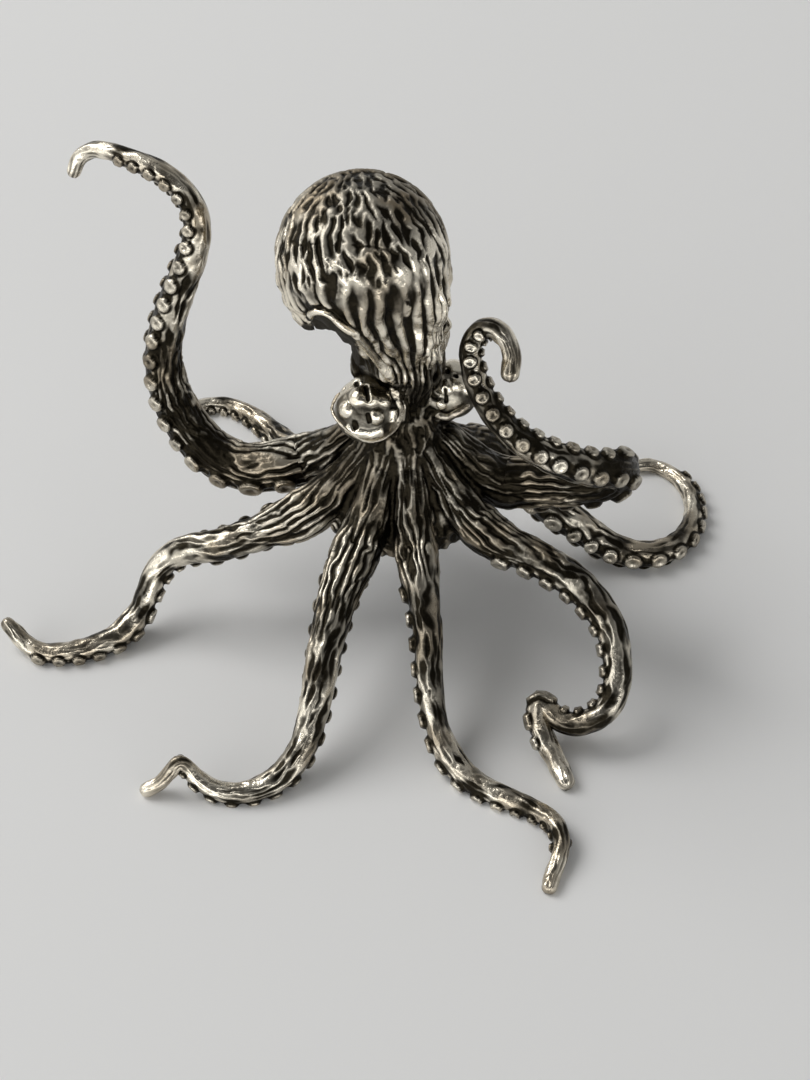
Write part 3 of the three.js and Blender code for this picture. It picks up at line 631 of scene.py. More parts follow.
def ball(middle, radius):
    """A round ball."""
    solid = bmesh.new()
    bmesh.ops.create_uvsphere(solid, u_segments=BALL_SIDES, v_segments=BALL_SIDES // 2,
                              radius=radius)
    bmesh.ops.translate(solid, verts=solid.verts, vec=middle)
    return kept(solid)


def beyond(point, facing):
    """Everything on the far side of a plane, as a large block."""
    solid = bmesh.new()
    bmesh.ops.create_cube(solid, size=BLOCK)
    bmesh.ops.translate(solid, verts=solid.verts, vec=(0, 0, BLOCK / 2))
    turn = Vector((0, 0, 1)).rotation_difference(Vector(facing)).to_matrix()
    bmesh.ops.rotate(solid, verts=solid.verts, cent=(0, 0, 0), matrix=turn)
    bmesh.ops.translate(solid, verts=solid.verts, vec=point)
    return kept(solid)


def worked_in(piece):
    """The piece's mesh once its modifiers have been worked in."""
    shown = piece.evaluated_get(bpy.context.evaluated_depsgraph_get())
    mesh = bpy.data.meshes.new_from_object(shown)
    bpy.data.objects.remove(piece)
    return mesh


def carved(base, tool, operation="DIFFERENCE"):
    """What is left of a solid once a tool's shape is cut from it, or all that they share."""
    cutter = new_piece("cutter", tool)
    body = new_piece("body", base)
    cut = body.modifiers.new("cut", "BOOLEAN")
    cut.object = cutter
    cut.operation = operation
    cut.solver = "EXACT"
    mesh = worked_in(body)
    bpy.data.objects.remove(cutter)
    return mesh


def melted(parts, cell, rounds):
    """Closed parts melted into one skin of small cells, softened where they meet."""
    whole = bmesh.new()
    for part in parts:
        whole.from_mesh(part)
    body = new_piece("melt", kept(whole))
    melt = body.modifiers.new("melt", "REMESH")
    melt.mode = "VOXEL"
    melt.voxel_size = cell
    soften = body.modifiers.new("soften", "SMOOTH")
    soften.iterations = rounds
    soften.factor = 0.5
    return worked_in(body)


def places_of(mesh):
    """The mesh's points and the way each one faces."""
    points = np.empty(len(mesh.vertices) * 3, np.float32)
    mesh.vertices.foreach_get("co", points)
    facing = np.empty(len(mesh.vertices) * 3, np.float32)
    mesh.vertices.foreach_get("normal", facing)
    return points.reshape(-1, 3).astype(float), facing.reshape(-1, 3).astype(float)


def skin_piece(name, mesh, points, relief, polish):
    """Takes the carved points into the frame, and keeps relief and polish for the silver."""
    mesh.vertices.foreach_set("co", ((points + BODY_AXIS) * MM).ravel())
    for layer, values in (("relief", relief), ("polish", polish)):
        mesh.attributes.new(layer, "FLOAT", "POINT").data.foreach_set("value", values)
    mesh.polygons.foreach_set("use_smooth", np.ones(len(mesh.polygons), bool))
    mesh.update()
    return new_piece(name, mesh)


def distance_to_line(points, line):
    """How far each point is from a line of straight runs."""
    best = np.full(len(points), FAR)
    line = np.array(line, float)
    for a, b in zip(line, line[1:]):
        share = np.clip((points - a) @ (b - a) / ((b - a) @ (b - a)), 0, 1)
        best = np.minimum(best, lengths(points - a - share[:, None] * (b - a)))
    return best


def nearest(points, line):
    """For each point, the number of the closest one of the line's points."""
    best = np.empty(len(points), int)
    at_once = 20000
    for start in range(0, len(points), at_once):
        block = points[start:start + at_once]
        far = ((block[:, None, :] - line[None, :, :]) ** 2).sum(2)
        best[start:start + at_once] = far.argmin(1)
    return best


# Mantle

def bell(inset, rise, length):
    """The bulb and its hood in one bell shape, set in by a wall."""
    outline = [[0, -length]]
    for i in range(BELL_STEPS, 0, -1):
        share = i / BELL_STEPS
        radius = BULB_RADIUS + (HOOD_RADIUS - BULB_RADIUS) * share ** 2 - inset
        outline.append([radius, -length * share])
    for i in range(BELL_STEPS):
        angle = math.pi / 2 * i / BELL_STEPS
        outline.append([(BULB_RADIUS - inset) * math.cos(angle), rise * math.sin(angle)])
    outline.append([0, rise])
    return lathe(outline, HOOD_LEAN, BULB_MIDDLE)


def neck_and_plate():
    """The neck as it widens upwards into the front of the bulb."""
    sections = []
    for up, wide, forward in PLATE_PROFILE:
        x = NECK_X + (BULB_MIDDLE.x - NECK_X) * wide
        z = SEAM_HEIGHT + (BULB_MIDDLE.z - SEAM_HEIGHT) * up
        radius_x = NECK_RADIUS + (BULB_RADIUS - NECK_RADIUS) * wide
        radius_y = NECK_RADIUS + (PLATE_DEPTH - NECK_RADIUS) * wide
        y = radius_y - NECK_RADIUS - (BULB_RADIUS - NECK_RADIUS) * forward
        sections.append([x, y, z, radius_x, radius_y])
    sections[0][2] -= SEAM_SINK
    x, y, z, radius_x, radius_y = sections[0]
    sections.insert(0, [x, y, z - FOOT_DROP, radius_x - FOOT_INSET, radius_y - FOOT_INSET])
    plate = stack(sections, sections[0][:3], sections[-1][:3])
    return carved(plate, bell(PLATE_INSET, BULB_RISE, HOOD_LENGTH), "INTERSECT")


def fan_relief(points):
    """Ridges that fan out over the bulb and run together down the neck."""
    way = (FAN_BOTTOM - FAN_TOP) / np.linalg.norm(FAN_BOTTOM - FAN_TOP)
    off = points - FAN_TOP
    along = off @ way
    out = off - along[:, None] * way
    away = lengths(out)
    first = np.cross(way, [0, 1, 0])
    first /= np.linalg.norm(first)
    turn = np.arctan2(out @ np.cross(way, first), out @ first) / (2 * np.pi)
    run = lengths(off)
    low = smooth(*NECK_RUN, run)
    relief = np.zeros(len(points))
    for k, (ridges, start, full) in enumerate(FAN_STEPS):
        until = FAN_STEPS[k + 1][1:] if k + 1 < len(FAN_STEPS) else (FAR - 1, FAR)
        share = smooth(start, full, away) * (1 - smooth(*until, away))
        used = share > 0
        short = bark(run[used], turn[used], ridges, 40 + k)
        long = cords(run[used], turn[used], NECK_RIDGES, 60, 0.3)
        relief[used] += share[used] * blend(short, long, low[used])
    return relief


def mantle_form():
    """The bulb, its hood and the neck, open at the mouth and melted into one."""
    outer = bell(0, BULB_RISE, HOOD_LENGTH)
    shell = carved(outer, bell(MANTLE_WALL, POCKET_RISE, HOOD_LENGTH + MANTLE_WALL))
    for point, facing in ((MOUTH_POINT, MOUTH_FACING), (LOBE_POINT, LOBE_FACING),
                          (Vector((0, 0, HOOD_BOTTOM)), (0, 0, -1))):
        shell = carved(shell, beyond(point, facing))
    trims = [rod(LIP, LIP_RADII), rod(BUNDLE, BUNDLE_RADII), rod(MOUTH_FLESH, MOUTH_FLESH_RADII)]
    return melted([shell, neck_and_plate()] + trims, CELL, SOFTENING)


def mantle_skin():
    """The mantle with its carved ridges and marks, polished in front and low down."""
    mesh = mantle_form()
    points, facing = places_of(mesh)
    _, y, z = points.T
    to_lip = distance_to_line(points, LIP)
    on_lip = smooth(0.55, 0.36, to_lip)
    relief = fan_relief(points)
    relief = blend(relief, 1, on_lip)
    # Painted shade: a dark band round the lip, where it meets the bulb
    relief = relief * (1 - 0.85 * smooth(0.9, 0.65, to_lip) * (1 - on_lip))
    worn = smooth(*WORN_HEIGHTS, z)
    polish = smooth(*POLISHED_HEIGHTS, z) * smooth(2, -2, y)
    polish += 0.8 * worn * polish
    depth = BARK_DEPTH * (1 + 0.5 * smooth(*NECK_RUN, lengths(points - FAN_TOP)))
    hammered = 0.06 + 0.1 * polish + 0.34 * smooth(52, 47, z)
    height = ((relief - BARK_LEVEL) * depth + hammered * lumps(points, 1.5, 5)) * (1 - on_lip)
    # The neck's crests are worn broad, and the polished front is dulled here and there
    relief += 0.5 * worn * smooth(0.12, 0.45, relief)
    relief *= 1 - 0.2 * polish * smooth(0.1, 0.5, lumps(points, 2.2, 15)) * (1 - on_lip)
    height, relief = mantle_marks(points, height, relief)
    height, relief = neck_side(points, height, relief)
    # Painted shade: the pocket inside the bell and the mouth under the lip are painted dark, rough
    # and dull
    painted_hollow_shade = np.maximum(inside_bell(points, 0.5), under_lip(points) * (1 - on_lip))
    height *= 1 - 0.7 * painted_hollow_shade
    relief *= 1 - 0.9 * painted_hollow_shade
    polish = polish * (1 - painted_hollow_shade) - painted_hollow_shade
    carved_points = points + facing * height[:, None]
    carved_points[:, 0] += LOBE_TUCK * lobe_share(points)
    return skin_piece("mantle_skin", mesh, carved_points, relief, polish)


def mantle_marks(points, height, relief):
    """Works the cracks, the small boss and the pale worn patch into the mantle."""
    for line in CRACKS:
        scored = smooth(0.24, 0.06, distance_to_line(points, line))
        height = height - 0.08 * scored
        relief = relief * (1 - 0.5 * scored)
    boss = smooth(0.8, 0.3, lengths(points - SMALL_BOSS))
    height = blend(height, 0.3, boss)
    relief = blend(relief, 1, boss)
    patch = smooth(1.1, 0.6, lengths((points - PALE_PATCH) / [0.6, 1, 1.6]))
    pocks = smooth(0.35, 0.65, lumps(points, 0.45, 77))
    return blend(height, 0.05 - 0.15 * pocks, patch), blend(relief, 0.8 - 0.6 * pocks, patch)


def neck_side(points, height, relief):
    """Sinks the neck's plain left side behind the strand along its edge."""
    on_edge = smooth(0.75, 0.4, distance_to_line(points, BUNDLE))
    aside = left_of_bundle(points) * (1 - on_edge)
    # Painted highlight: the glint's lump is painted bright as well as raised
    glint = smooth(1.5, 0.7, lengths((points - NECK_GLINT) / [1, 1, 1.3]))
    height = height * (1 - on_edge) * (1 - 0.6 * aside) + aside * (0.3 * glint - SIDE_SINK)
    relief = relief + (1 - relief) * 0.8 * on_edge
    return height, blend(relief, plain_side(points) + 0.6 * glint, aside)


def plain_side(points):
    """The relief of the neck's plain left side."""
    return 0.3 + 0.1 * lumps(points, 1.1, 9)


def lobe_share(points):
    """1 at the lobe's outer corner, which curls in, and 0 on the rest of the bulb."""
    return smooth(32, 27.5, level_in_view(points)) * smooth(-6, -12, points[:, 0])


def level_in_view(points):
    """How high each point stands as it is seen from the front at 45 degrees."""
    return (points[:, 1] + points[:, 2]) * math.sqrt(0.5)


def under_lip(points):
    """1 in the mouth under the lip, which is painted dark as shade, and 0 elsewhere."""
    line = np.array(LIP)
    level = np.interp(points[:, 0], line[:, 0], level_in_view(line))
    return smooth(0.1, 0.35, level - level_in_view(points)) * smooth(-4.8, -5.4, points[:, 0])


def left_of_bundle(points):
    """1 on the neck's left side, which lies deeper than the ridges that run down its front."""
    line = np.array(BUNDLE_EDGE)
    turn = np.degrees(np.arctan2(points[:, 1], points[:, 0] - NECK_X))
    edge = np.interp(points[:, 2], line[:, 1], line[:, 0])
    front = smooth(60, 20, np.abs(turn + 150))
    on_neck = smooth(8.2, 7.2, np.hypot(points[:, 0] - NECK_X, points[:, 1]))
    return smooth(1, 9, edge - turn) * front * on_neck * smooth(46.5, 44.5, points[:, 2])


def inside_bell(points, inset):
    """1 well inside the bulb's and hood's wall, as in the pocket, and 0 on their outer face."""
    lean = np.array(HOOD_LEAN)
    off = points - np.array(BULB_MIDDLE)
    down = off @ lean
    out = lengths(off - down[:, None] * lean)
    share = np.clip(down / HOOD_LENGTH, 0, 1)
    wall = BULB_RADIUS + (HOOD_RADIUS - BULB_RADIUS) * share ** 2
    rounded = np.where(down < 0, np.hypot(out, down), out)
    pocket = smooth(inset, inset + 0.4, wall - rounded)
    front = points[:, 1] < -0.22 * (points[:, 2] - 37)
    neck = np.hypot(points[:, 0] - NECK_X, points[:, 1]) < NECK_RADIUS + 0.4
    low_neck = neck & ((points[:, 1] < 2) | (points[:, 2] < SEAM_HEIGHT + 1))
    return np.where(front | low_neck, 0, pocket)


# Head and web

def limb_stub(one):
    """The stub on the web that one arm is soldered to, as a rod from inside the head."""
    held = one["run"] < STUB_END
    places = one["centre"][held][::6]
    tapered = BURIED_DEPTH * np.clip((one["run"] - CROSSING) / (STUB_END - CROSSING), 0, 1)
    sizes = (one["radius"] - tapered)[held][::6]
    return rod(np.vstack([places[0] - one["way"][0], places]),
               np.concatenate([[sizes[0] * 0.6], sizes]))


def head_core():
    """The head from the neck down to the web's edge, with the hollow under the web."""
    hollow = [[0, 0, height, radius, radius] for height, radius in HOLLOW]
    sections = hollow[1:] + HEAD_SECTIONS
    return stack([[0, 0, HOLLOW[0][0], 0.01, 0.01]] + sections, (0, 0, HOLLOW[0][0]),
                 (NECK_X, 0, HEAD_SECTIONS[-1][2]))


def eye_side(hand):
    """The way from the middle of the head to its left eye, -1, or its right eye, 1."""
    turn = math.radians(EYE_TURN)
    return Vector((math.cos(turn), math.sin(turn), 0)) * hand


def eye_middle(hand):
    """The middle of an eye."""
    return HEAD_MIDDLE + eye_side(hand) * (EYE_SPACING / 2)


def eye_facing(hand):
    """The way an eye faces."""
    forward = eye_side(1).cross(Vector((0, 0, 1)))
    way = eye_side(hand) + forward * EYE_FORWARD
    return Vector((way.x, way.y, EYE_UPWARD)).normalized()


def siphon():
    """The short bored tube behind the head."""
    root, bend, end = (Vector(SIPHON[key]) for key in ("root", "bend", "end"))
    tube = melted([rod([root, root.lerp(bend, 0.5), bend, end],
                       [SIPHON_RADIUS] * 3 + [SIPHON_RADIUS * 0.85])], SIPHON_CELL, 1)
    return carved(tube, rod([bend, bend.lerp(end, 0.5), end, end + (end - bend)],
                            [SIPHON_BORE] * 4))


def head_form(limbs):
    """The head, web, siphon, brows, rims, strands and stubs, melted into one."""
    brows = [ball(eye_middle(hand) - eye_facing(hand) * BROW_INSET, radius + BROW_THICKNESS)
             for hand, radius in ((-1, LEFT_EYE_RADIUS), (1, RIGHT_EYE_RADIUS))]
    rims = [rod(LEFT_RIM, LEFT_RIM_RADII), rod(RIGHT_RIM, RIGHT_RIM_RADII)]
    strands = [rod(line, STRAND_RADII) for line in STRANDS]
    stubs = [limb_stub(one) for one in limbs]
    return melted([head_core(), siphon()] + brows + rims + strands + stubs, CELL, SOFTENING)


def around_limbs(points, limbs):
    """What the nearest limb gives each point: its bark, the distance off it and off the next
    limb, and 1 where the limb runs in under the head."""
    relief = np.zeros(len(points))
    gap = np.full(len(points), FAR)
    rival = np.full(len(points), FAR)
    inward = np.zeros(len(points))
    for one in limbs:
        near = one["run"] < STUB_END + 1
        centre, radius = one["centre"][near], one["radius"][near]
        pick = nearest(points, centre)
        off = points - centre[pick]
        far = lengths(off) - radius[pick]
        closer = far < gap
        rival = np.minimum(rival, np.where(closer, gap, far))
        turn = np.arctan2(np.einsum("ij,ij->i", off, one["side"][near][pick]),
                          np.einsum("ij,ij->i", off, one["belly"][near][pick])) / (2 * np.pi)
        run, turn = one["run"][near][pick][closer], turn[closer]
        outer = limb_relief(one, run, turn, radius[pick][closer])
        streaks = bark(run, turn, ROOT_RIDGES, one["seed"] + 11, BARK_LENGTH * 2.2, 0.4)
        inward[closer] = smooth(-1, -6, run)
        relief[closer] = outer + (streaks - outer) * inward[closer]
        gap = np.minimum(gap, far)
    return relief, gap, rival, inward


def head_skin(limbs):
    """The head and web with the limbs' bark below and the mantle's ridges above."""
    mesh = head_form(limbs)
    points, facing = places_of(mesh)
    x, y, z = points.T
    relief, gap, rival, inward = around_limbs(points, limbs)
    upper = np.maximum(smooth(24, 29, z), smooth(0.6, 1.5, gap))
    neck = smooth(30, 33, z)
    body = bark(z * 1.2, np.arctan2(y, x) / (2 * np.pi), 26, 71)
    relief = blend(relief, blend(body, fan_relief(points), neck), upper)
    # Painted shade: the creases between neighbouring arms are darker
    crease_shade = smooth(0.9, 0.1, rival - gap) * smooth(1.6, 0.2, gap)
    relief *= 1 - 0.8 * crease_shade
    aside = left_of_bundle(points) * neck
    relief = blend(relief, plain_side(points), aside)
    # Painted shade: the underside of the web, facing down, is painted darker and kept smooth
    underside_shade = smooth(0.3, 0.7, -facing[:, 2]) * smooth(9.4, 8.6, np.hypot(x, y))
    depth = BARK_DEPTH * (1 + 0.5 * neck)
    height = (relief - BARK_LEVEL) * depth * (1 - aside) + 0.06 * lumps(points, 1.3, 11)
    height = height * (1 - underside_shade) - SIDE_SINK * aside
    # Painted shade: the web away from the arms' stubs, and where the arms run in under the head,
    # is darker
    relief *= 1 - WEB_SHADE * np.maximum(inward, smooth(0.4, 1.2, gap))
    relief *= 1 - 0.7 * underside_shade
    for rim in (LEFT_RIM, RIGHT_RIM):
        to_rim = distance_to_line(points, rim)
        on_rim = smooth(0.7, 0.4, to_rim)
        relief = blend(relief, 1, on_rim)
        height *= 1 - on_rim
        # Painted shade: a dark band beside each rim, where it meets the head
        relief *= 1 - 0.8 * smooth(1.1, 0.8, to_rim) * (1 - on_rim)
    polish = 0.35 + 0.3 * smooth(29, 31, z)
    carved_points = points + facing * height[:, None]
    return skin_piece("head_and_web_skin", mesh, carved_points, relief, polish)


# Eyes

# Bosses on the eyes: the directions they run through, and their radius in mm
LEFT_BOSSES = [
    ([(0, 0.35, 0.93)], 2.3),
    ([(-0.24, -0.38, 0.89)], 1.6),
    ([(0.14, -0.42, 0.89)], 1.5),
    ([(-0.64, -0.57, 0.52)], 1.35),
    ([(0.54, -0.38, 0.75)], 1.2),
    ([(0.3, -0.84, 0.45)], 1.1),
    ([(0.8, -0.4, 0.45), (0.76, -0.65, 0.04)], 0.8),
    ([(-0.66, -0.74, 0.0), (-0.3, -0.94, -0.1), (0.1, -0.98, -0.15), (0.55, -0.83, -0.1)], 1.1),
]
RIGHT_BOSSES = [
    ([(0.1, 0.3, 0.93)], 2.1),
    ([(-0.55, -0.35, 0.75)], 1.3),
    ([(-0.2, -0.65, 0.73)], 1.2),
    ([(0.2, -0.55, 0.81)], 1.3),
    ([(0.6, -0.55, 0.58)], 1.1),
    ([(-0.41, -0.90, 0.14)], 0.85),
]
# Pits in the eyes: from one direction to another, and their half width in mm
LEFT_PITS = [
    ((-0.02, -0.1, 0.99), (0.04, -0.54, 0.84), 0.3),
    ((0.04, -0.84, 0.54), (0.08, -0.93, 0.35), 0.26),
    ((-0.32, 0.12, 0.94), (-0.29, 0.0, 0.96), 0.3),
    ((0.41, 0.23, 0.88), (0.43, 0.13, 0.89), 0.26),
    ((-0.36, -0.89, 0.25), (-0.33, -0.93, 0.15), 0.4),
]
RIGHT_PITS = [
    ((-0.19, -0.07, 0.98), (-0.16, -0.14, 0.98), 0.28),
    ((0.11, -0.3, 0.95), (0.14, -0.36, 0.93), 0.28),
    ((-0.23, -0.72, 0.64), (-0.2, -0.93, 0.3), 0.24),
    ((-0.69, 0.48, 0.54), (-0.70, 0.42, 0.58), 0.28),
]


def eye_skin(name, hand, radius, bosses, hollows):
    """A beaded eye: a ball with bosses melted on, and with pits and pocks."""
    middle = np.array(eye_middle(hand))
    parts = [ball(middle, radius - 0.1)]
    for ways, size in bosses:
        ends = [Vector(middle) + Vector(way).normalized() * (radius + BOSS_RISE - size)
                for way in ways]
        parts.append(rod(ends, [size] * len(ends)) if len(ends) > 1 else ball(ends[0], size))
    mesh = melted(parts, EYE_CELL, SOFTENING)
    points, facing = places_of(mesh)
    away = points - middle
    from_middle = lengths(away)
    away /= from_middle[:, None]
    height = 0.03 * lumps(points, 0.9, 21)
    # Painted shade: the creases between the bosses, which lie below the ball's surface, are darker
    relief = 0.35 + 0.65 * smooth(radius - 0.05, radius + 0.22, from_middle)
    # The back is worn bright all over, but for its pocks
    pocks = smooth(0.3, 0.6, lumps(points, 0.8, 33)) * smooth(-0.1, 0.25, away[:, 1])
    height -= 0.2 * pocks
    relief = np.maximum(relief, smooth(-0.3, 0.1, away[:, 1])) * (1 - 0.9 * pocks)
    for first, last, size in hollows:
        widths = distance_to_line(away, [first, last]) * radius / size
        height -= 0.28 * smooth(1.5, 0.25, widths)
        relief *= smooth(0.7, 1.2, widths)
    polish = np.full(len(points), 0.9)
    return skin_piece(name, mesh, points + facing * height[:, None], relief, polish)


# Nodes of materials and of the room

def feed(tree, socket, value):
    """Links a socket to another one, or sets it to a plain value."""
    if isinstance(value, bpy.types.NodeSocket):
        tree.links.new(value, socket)
    else:
        socket.default_value = value


def between(tree, value, given, wanted, soft=True):
    """Turns one range into another, by a soft step or a straight one."""
    step = tree.nodes.new("ShaderNodeMapRange")
    step.interpolation_type = "SMOOTHSTEP" if soft else "LINEAR"
    names = ("Value", "From Min", "From Max", "To Min", "To Max")
    for name, source in zip(names, (value, *given, *wanted)):
        feed(tree, step.inputs[name], source)
    return step.outputs["Result"]


def combined(tree, operation, *values):
    """A sum, product or other operation on values."""
    made = tree.nodes.new("ShaderNodeMath")
    made.operation = operation
    for socket, value in zip(made.inputs, values):
        feed(tree, socket, value)
    return made.outputs[0]


def mixed(tree, share, first, second):
    """A mix of two colours by a share."""
    mix = tree.nodes.new("ShaderNodeMix")
    mix.data_type = "RGBA"
    for name, source in (("Factor", share), ("A", first), ("B", second)):
        feed(tree, mix.inputs[name], source)
    return mix.outputs["Result"]


def noise(tree, place, scale, detail):
    """Soft random spots."""
    made = tree.nodes.new("ShaderNodeTexNoise")
    for name, source in (("Vector", place), ("Scale", scale), ("Detail", detail)):
        feed(tree, made.inputs[name], source)
    return made.outputs["Fac"]


def kept_value(tree, name):
    """A value that is kept at each point of a skin."""
    made = tree.nodes.new("ShaderNodeAttribute")
    made.attribute_name = name
    return made.outputs["Fac"]


# Silver

# Noise on the silver, as scale and detail: uneven wear, patches of patina, the casting's grain
WEAR_NOISE = (420, 5)
PATINA_NOISE = (170, 3)
GRAIN_NOISE = (1500, 6)
# How far the noise shifts the height at which the silver is rubbed clean
WEAR_SHIFT = 0.35
MATTE_ROUGHNESS = 0.46
POLISHED_ROUGHNESS = 0.13
PIT_ROUGHNESS = 0.38
GRAIN_STRENGTH = 0.5
GRAIN_DEPTH = 0.0003


def silver_group():
    """Rubbed ridges, oxidised pits and painted shade, from the relief and polish kept on the skin.

    A polish from 0 to 1 runs from matte to polished silver. Above 1 the patina is rubbed off as
    well, and below 0 are deep hollows, which are painted dull and dark as shade."""
    group = bpy.data.node_groups.new("Oxidised silver", "ShaderNodeTree")
    for name, kind, value in (("Matte colour", "Color", (0.5, 0.47, 0.4, 1)),
                              ("Polished colour", "Color", (0.88, 0.84, 0.76, 1)),
                              ("Pit and shade colour", "Color", (0.018, 0.015, 0.01, 1)),
                              ("Patina colour", "Color", (0.2, 0.14, 0.07, 1)),
                              ("Patina", "Float", 0.5),
                              ("Rubbed from", "Float", 0.35),
                              ("Rubbed to", "Float", 0.85)):
        made = group.interface.new_socket(
            name=name, in_out="INPUT", socket_type="NodeSocket" + kind)
        made.default_value = value
    for name, kind in (("Colour", "Color"), ("Roughness", "Float"), ("Metallic", "Float"),
                       ("Height", "Float")):
        group.interface.new_socket(name=name, in_out="OUTPUT", socket_type="NodeSocket" + kind)
    given = group.nodes.new("NodeGroupInput").outputs
    relief = kept_value(group, "relief")
    polish = kept_value(group, "polish")
    place = group.nodes.new("ShaderNodeTexCoord").outputs["Object"]

    uneven = combined(group, "MULTIPLY_ADD", noise(group, place, *WEAR_NOISE),
                      2 * WEAR_SHIFT, -WEAR_SHIFT)
    # The relief also carries painted shade from creases and undersides, which darkens it towards
    # the pit colour
    wear_and_shade = between(group, combined(group, "ADD", relief, uneven),
                   (given["Rubbed from"], given["Rubbed to"]), (0, 1))
    metal = mixed(group, polish, given["Matte colour"], given["Polished colour"])
    patina = between(group, polish, (1, 1.5), (given["Patina"], 0.1), soft=False)
    filmed = between(group, noise(group, place, *PATINA_NOISE), (0.4, 0.6), (0, patina))
    ridges = mixed(group, filmed, metal, given["Patina colour"])
    shine = between(group, polish, (0, 1), (MATTE_ROUGHNESS, POLISHED_ROUGHNESS), soft=False)
    rough = between(group, wear_and_shade, (0, 1), (PIT_ROUGHNESS, shine), soft=False)
    # Painted shade: where the polish falls below 0, in deep hollows, the metal is made dull, rough
    # and dark
    unshaded_metal = between(group, polish, (-1, 0), (0, 1), soft=False)
    hollow_shade = combined(group, "SUBTRACT", 1, unshaded_metal)

    result = group.nodes.new("NodeGroupOutput").inputs
    for name, source in (("Colour", mixed(group, wear_and_shade, given["Pit and shade colour"], ridges)),
                         ("Roughness", combined(group, "MAXIMUM", rough, hollow_shade)),
                         ("Metallic", unshaded_metal),
                         ("Height", noise(group, place, *GRAIN_NOISE))):
        group.links.new(source, result[name])
    return group


def silver(name, matte, polished, patina, rubbed_from, rubbed_to):
    """A silver for some pieces, with its own tones and its own wear."""
    made = bpy.data.materials.new(name)
    made.use_nodes = True
    tree = made.node_tree
    shader = tree.nodes["Principled BSDF"]
    cast = tree.nodes.new("ShaderNodeGroup")
    cast.node_tree = SILVER
    for key, value in (("Matte colour", (*matte, 1)), ("Polished colour", (*polished, 1)),
                       ("Patina", patina), ("Rubbed from", rubbed_from),
                       ("Rubbed to", rubbed_to)):
        cast.inputs[key].default_value = value
    for key, target in (("Colour", "Base Color"), ("Roughness", "Roughness"),
                        ("Metallic", "Metallic")):
        tree.links.new(cast.outputs[key], shader.inputs[target])
    bump = tree.nodes.new("ShaderNodeBump")
    bump.inputs["Strength"].default_value = GRAIN_STRENGTH
    bump.inputs["Distance"].default_value = GRAIN_DEPTH
    tree.links.new(cast.outputs["Height"], bump.inputs["Height"])
    tree.links.new(bump.outputs["Normal"], shader.inputs["Normal"])
    return made


SILVER = silver_group()
BODY_SILVER = silver("Body silver", (0.41, 0.38, 0.32), (0.97, 0.9, 0.76), 0.6, 0.34, 0.96)
EYE_SILVER = silver("Eye silver", (0.5, 0.46, 0.4), (0.95, 0.89, 0.75), 0.3, 0.15, 0.8)


def dress(piece, node, material):
    """Puts a piece in its silver and in its node's place on the one body there is."""
    piece.data.materials.clear()
    piece.data.materials.append(material)
    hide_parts(node)
    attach(piece, "root")


# The twelve pieces

LIMBS = [limb(arm) for arm in ARMS]
for one in LIMBS:
    dress(arm_skin(one), one["name"], BODY_SILVER)
dress(mantle_skin(), "mantle", BODY_SILVER)
dress(head_skin(LIMBS), "head_and_web", BODY_SILVER)
dress(eye_skin("left_eye_skin", -1, LEFT_EYE_RADIUS, LEFT_BOSSES, LEFT_PITS),
      "left_eye", EYE_SILVER)
dress(eye_skin("right_eye_skin", 1, RIGHT_EYE_RADIUS, RIGHT_BOSSES, RIGHT_PITS),
      "right_eye", EYE_SILVER)


# Floor, light and camera

TARGET = Vector((0.5, -4.0, 9.7)) + Vector(BODY_AXIS)
CAMERA_DISTANCE = 300
CAMERA_TILT = 45
LENS = 80
SENSOR_WIDTH = 36
NEAREST_SEEN = 0.01
FLOOR_SIZE = 5
FLOOR_COLOUR = (0.79, 0.79, 0.79, 1)
FLOOR_ROUGHNESS = 0.45
FLOOR_SHEEN = 0.3
# The room's tone by the height in it, from level with the table to overhead
ROOM_TONES = [
    (0.0, (0.72, 0.72, 0.71, 1)), (0.4, (0.4, 0.4, 0.395, 1)), (1.0, (0.3, 0.3, 0.295, 1)),
]
LEFT_TO_RIGHT = (1.15, 0.8)
# The way to the dark side of the room, behind the viewer, and to its window, and where they fade
VIEWER = (0.1, -0.8, 0.6)
VIEWER_FADE = (0.62, 0.88)
DARK_SHARE = 0.25
WINDOW = (-0.85, -0.35, 0.45)
WINDOW_FADE = (0.86, 0.91)
WINDOW_GLOW = 1.6
# A bright band low in front, which the neck and the bulb reflect, and where it fades
BAND_GLOW = 3.8
BAND_TOP = (0.42, 0.34)
BAND_FRONT = (-0.6, -0.72)
BACKDROP_COLOUR = (0.56, 0.56, 0.555, 1)
LAMP_PLACE = (-0.8, 0.4, 0.95)
LAMP_AIM = (0.004, 0.006, 0.02)
LAMP_SIZE = 0.9
LAMP_POWER = 9.6
LAMP_COLOUR = (1, 0.995, 0.98)


def floor():
    """The pale table that the figurine stands on."""
    sheet = bmesh.new()
    bmesh.ops.create_grid(sheet, x_segments=8, y_segments=8, size=FLOOR_SIZE / 2)
    table = new_piece("floor", kept(sheet, "floor"))
    made = bpy.data.materials.new("Pale table")
    made.use_nodes = True
    shader = made.node_tree.nodes["Principled BSDF"]
    shader.inputs["Base Color"].default_value = FLOOR_COLOUR
    shader.inputs["Roughness"].default_value = FLOOR_ROUGHNESS
    shader.inputs["Specular IOR Level"].default_value = FLOOR_SHEEN
    table.data.materials.append(made)


def placed(name, data, place, way):
    """A lamp or a camera at a place, turned to look a given way."""
    holder = bpy.data.objects.new(name, data)
    bpy.context.scene.collection.objects.link(holder)
    holder.location = place
    holder.rotation_euler = way.to_track_quat("-Z", "Y").to_euler()
    return holder


def facing_share(tree, way, middle):
    """How closely each way through the room points at the middle of a patch of it."""
    made = tree.nodes.new("ShaderNodeVectorMath")
    made.operation = "DOT_PRODUCT"
    tree.links.new(way, made.inputs[0])
    made.inputs[1].default_value = Vector(middle).normalized()
    return made.outputs["Value"]


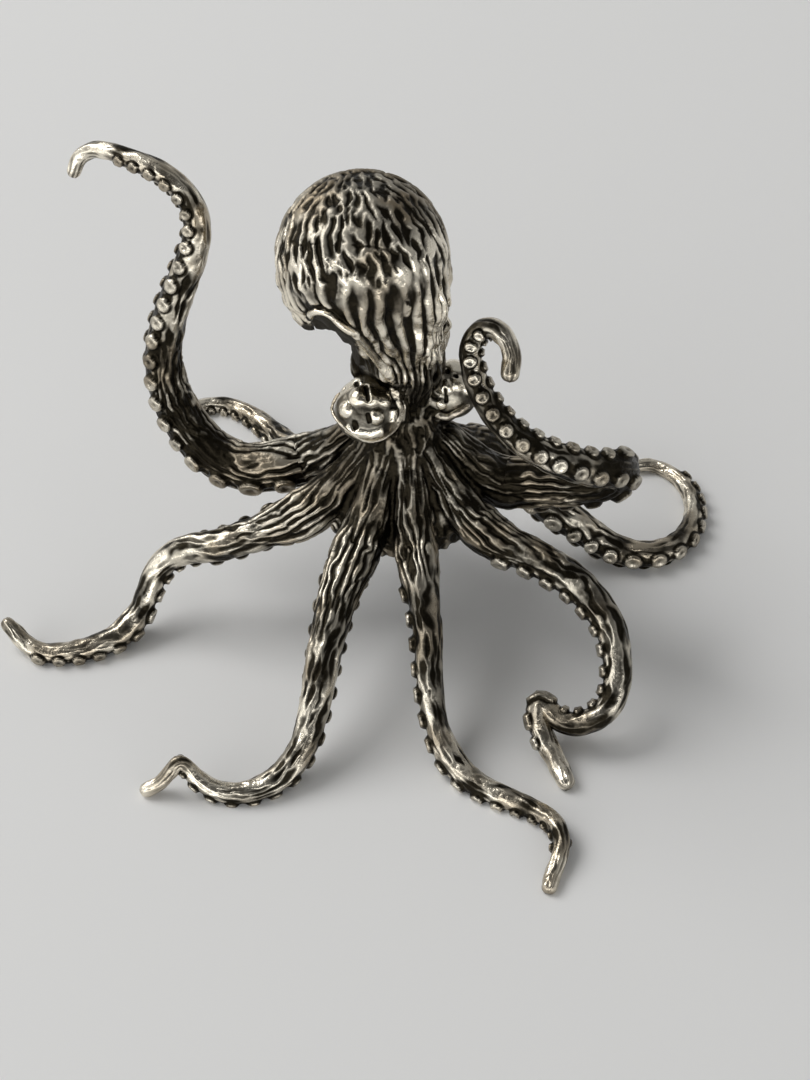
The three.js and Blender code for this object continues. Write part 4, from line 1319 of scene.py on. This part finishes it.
def room():
    """A plain room: dim overhead, brighter to the left and low in front, dark round the viewer.

    The viewer sees a plain pale backdrop in its place."""
    world = bpy.data.worlds.new("Room")
    bpy.context.scene.world = world
    world.use_nodes = True
    tree = world.node_tree
    back = tree.nodes["Background"]
    way = tree.nodes.new("ShaderNodeTexCoord").outputs["Generated"]
    parts = tree.nodes.new("ShaderNodeSeparateXYZ")
    tree.links.new(way, parts.inputs[0])
    x, y, z = parts.outputs
    rise = tree.nodes.new("ShaderNodeValToRGB")
    tree.links.new(z, rise.inputs["Fac"])
    tones = rise.color_ramp.elements
    for height, _ in ROOM_TONES[1:-1]:
        tones.new(height)
    for tone, (height, colour) in zip(tones, ROOM_TONES):
        tone.position, tone.color = height, colour
    tree.links.new(rise.outputs["Color"], back.inputs["Color"])
    left = between(tree, x, (-1, 1), LEFT_TO_RIGHT)
    viewer = between(tree, facing_share(tree, way, VIEWER), VIEWER_FADE, (1, DARK_SHARE))
    walls = combined(tree, "MULTIPLY", left, viewer)
    window = between(tree, facing_share(tree, way, WINDOW), WINDOW_FADE, (0, WINDOW_GLOW))
    low = between(tree, z, BAND_TOP, (0, 1))
    ahead = between(tree, y, BAND_FRONT, (0, BAND_GLOW))
    band = combined(tree, "MULTIPLY", low, ahead)
    glow = combined(tree, "ADD", walls, combined(tree, "ADD", window, band))
    tree.links.new(glow, back.inputs["Strength"])
    backdrop = tree.nodes.new("ShaderNodeBackground")
    backdrop.inputs["Color"].default_value = BACKDROP_COLOUR
    seen = tree.nodes.new("ShaderNodeLightPath").outputs["Is Camera Ray"]
    either = tree.nodes.new("ShaderNodeMixShader")
    for socket, source in zip(either.inputs, (seen, back.outputs[0], backdrop.outputs[0])):
        tree.links.new(source, socket)
    tree.links.new(either.outputs[0], tree.nodes["World Output"].inputs["Surface"])


def lamp():
    """A broad soft light from the left, behind the figurine."""
    light = bpy.data.lights.new("Window", "AREA")
    light.shape = "DISK"
    light.size = LAMP_SIZE
    light.energy = LAMP_POWER
    light.color = LAMP_COLOUR
    placed("Window", light, LAMP_PLACE, Vector(LAMP_AIM) - Vector(LAMP_PLACE))


def camera():
    """The camera, which looks down on the figurine from the front."""
    lens = bpy.data.cameras.new("Camera")
    lens.lens = LENS
    lens.sensor_width = SENSOR_WIDTH
    lens.clip_start = NEAREST_SEEN
    tilt = math.radians(CAMERA_TILT)
    away = Vector((0, -math.cos(tilt), math.sin(tilt))) * CAMERA_DISTANCE
    bpy.context.scene.camera = placed("Camera", lens, (TARGET + away) * MM, -away)


floor()
room()
lamp()
camera()
bpy.context.scene.view_settings.view_transform = "Standard"
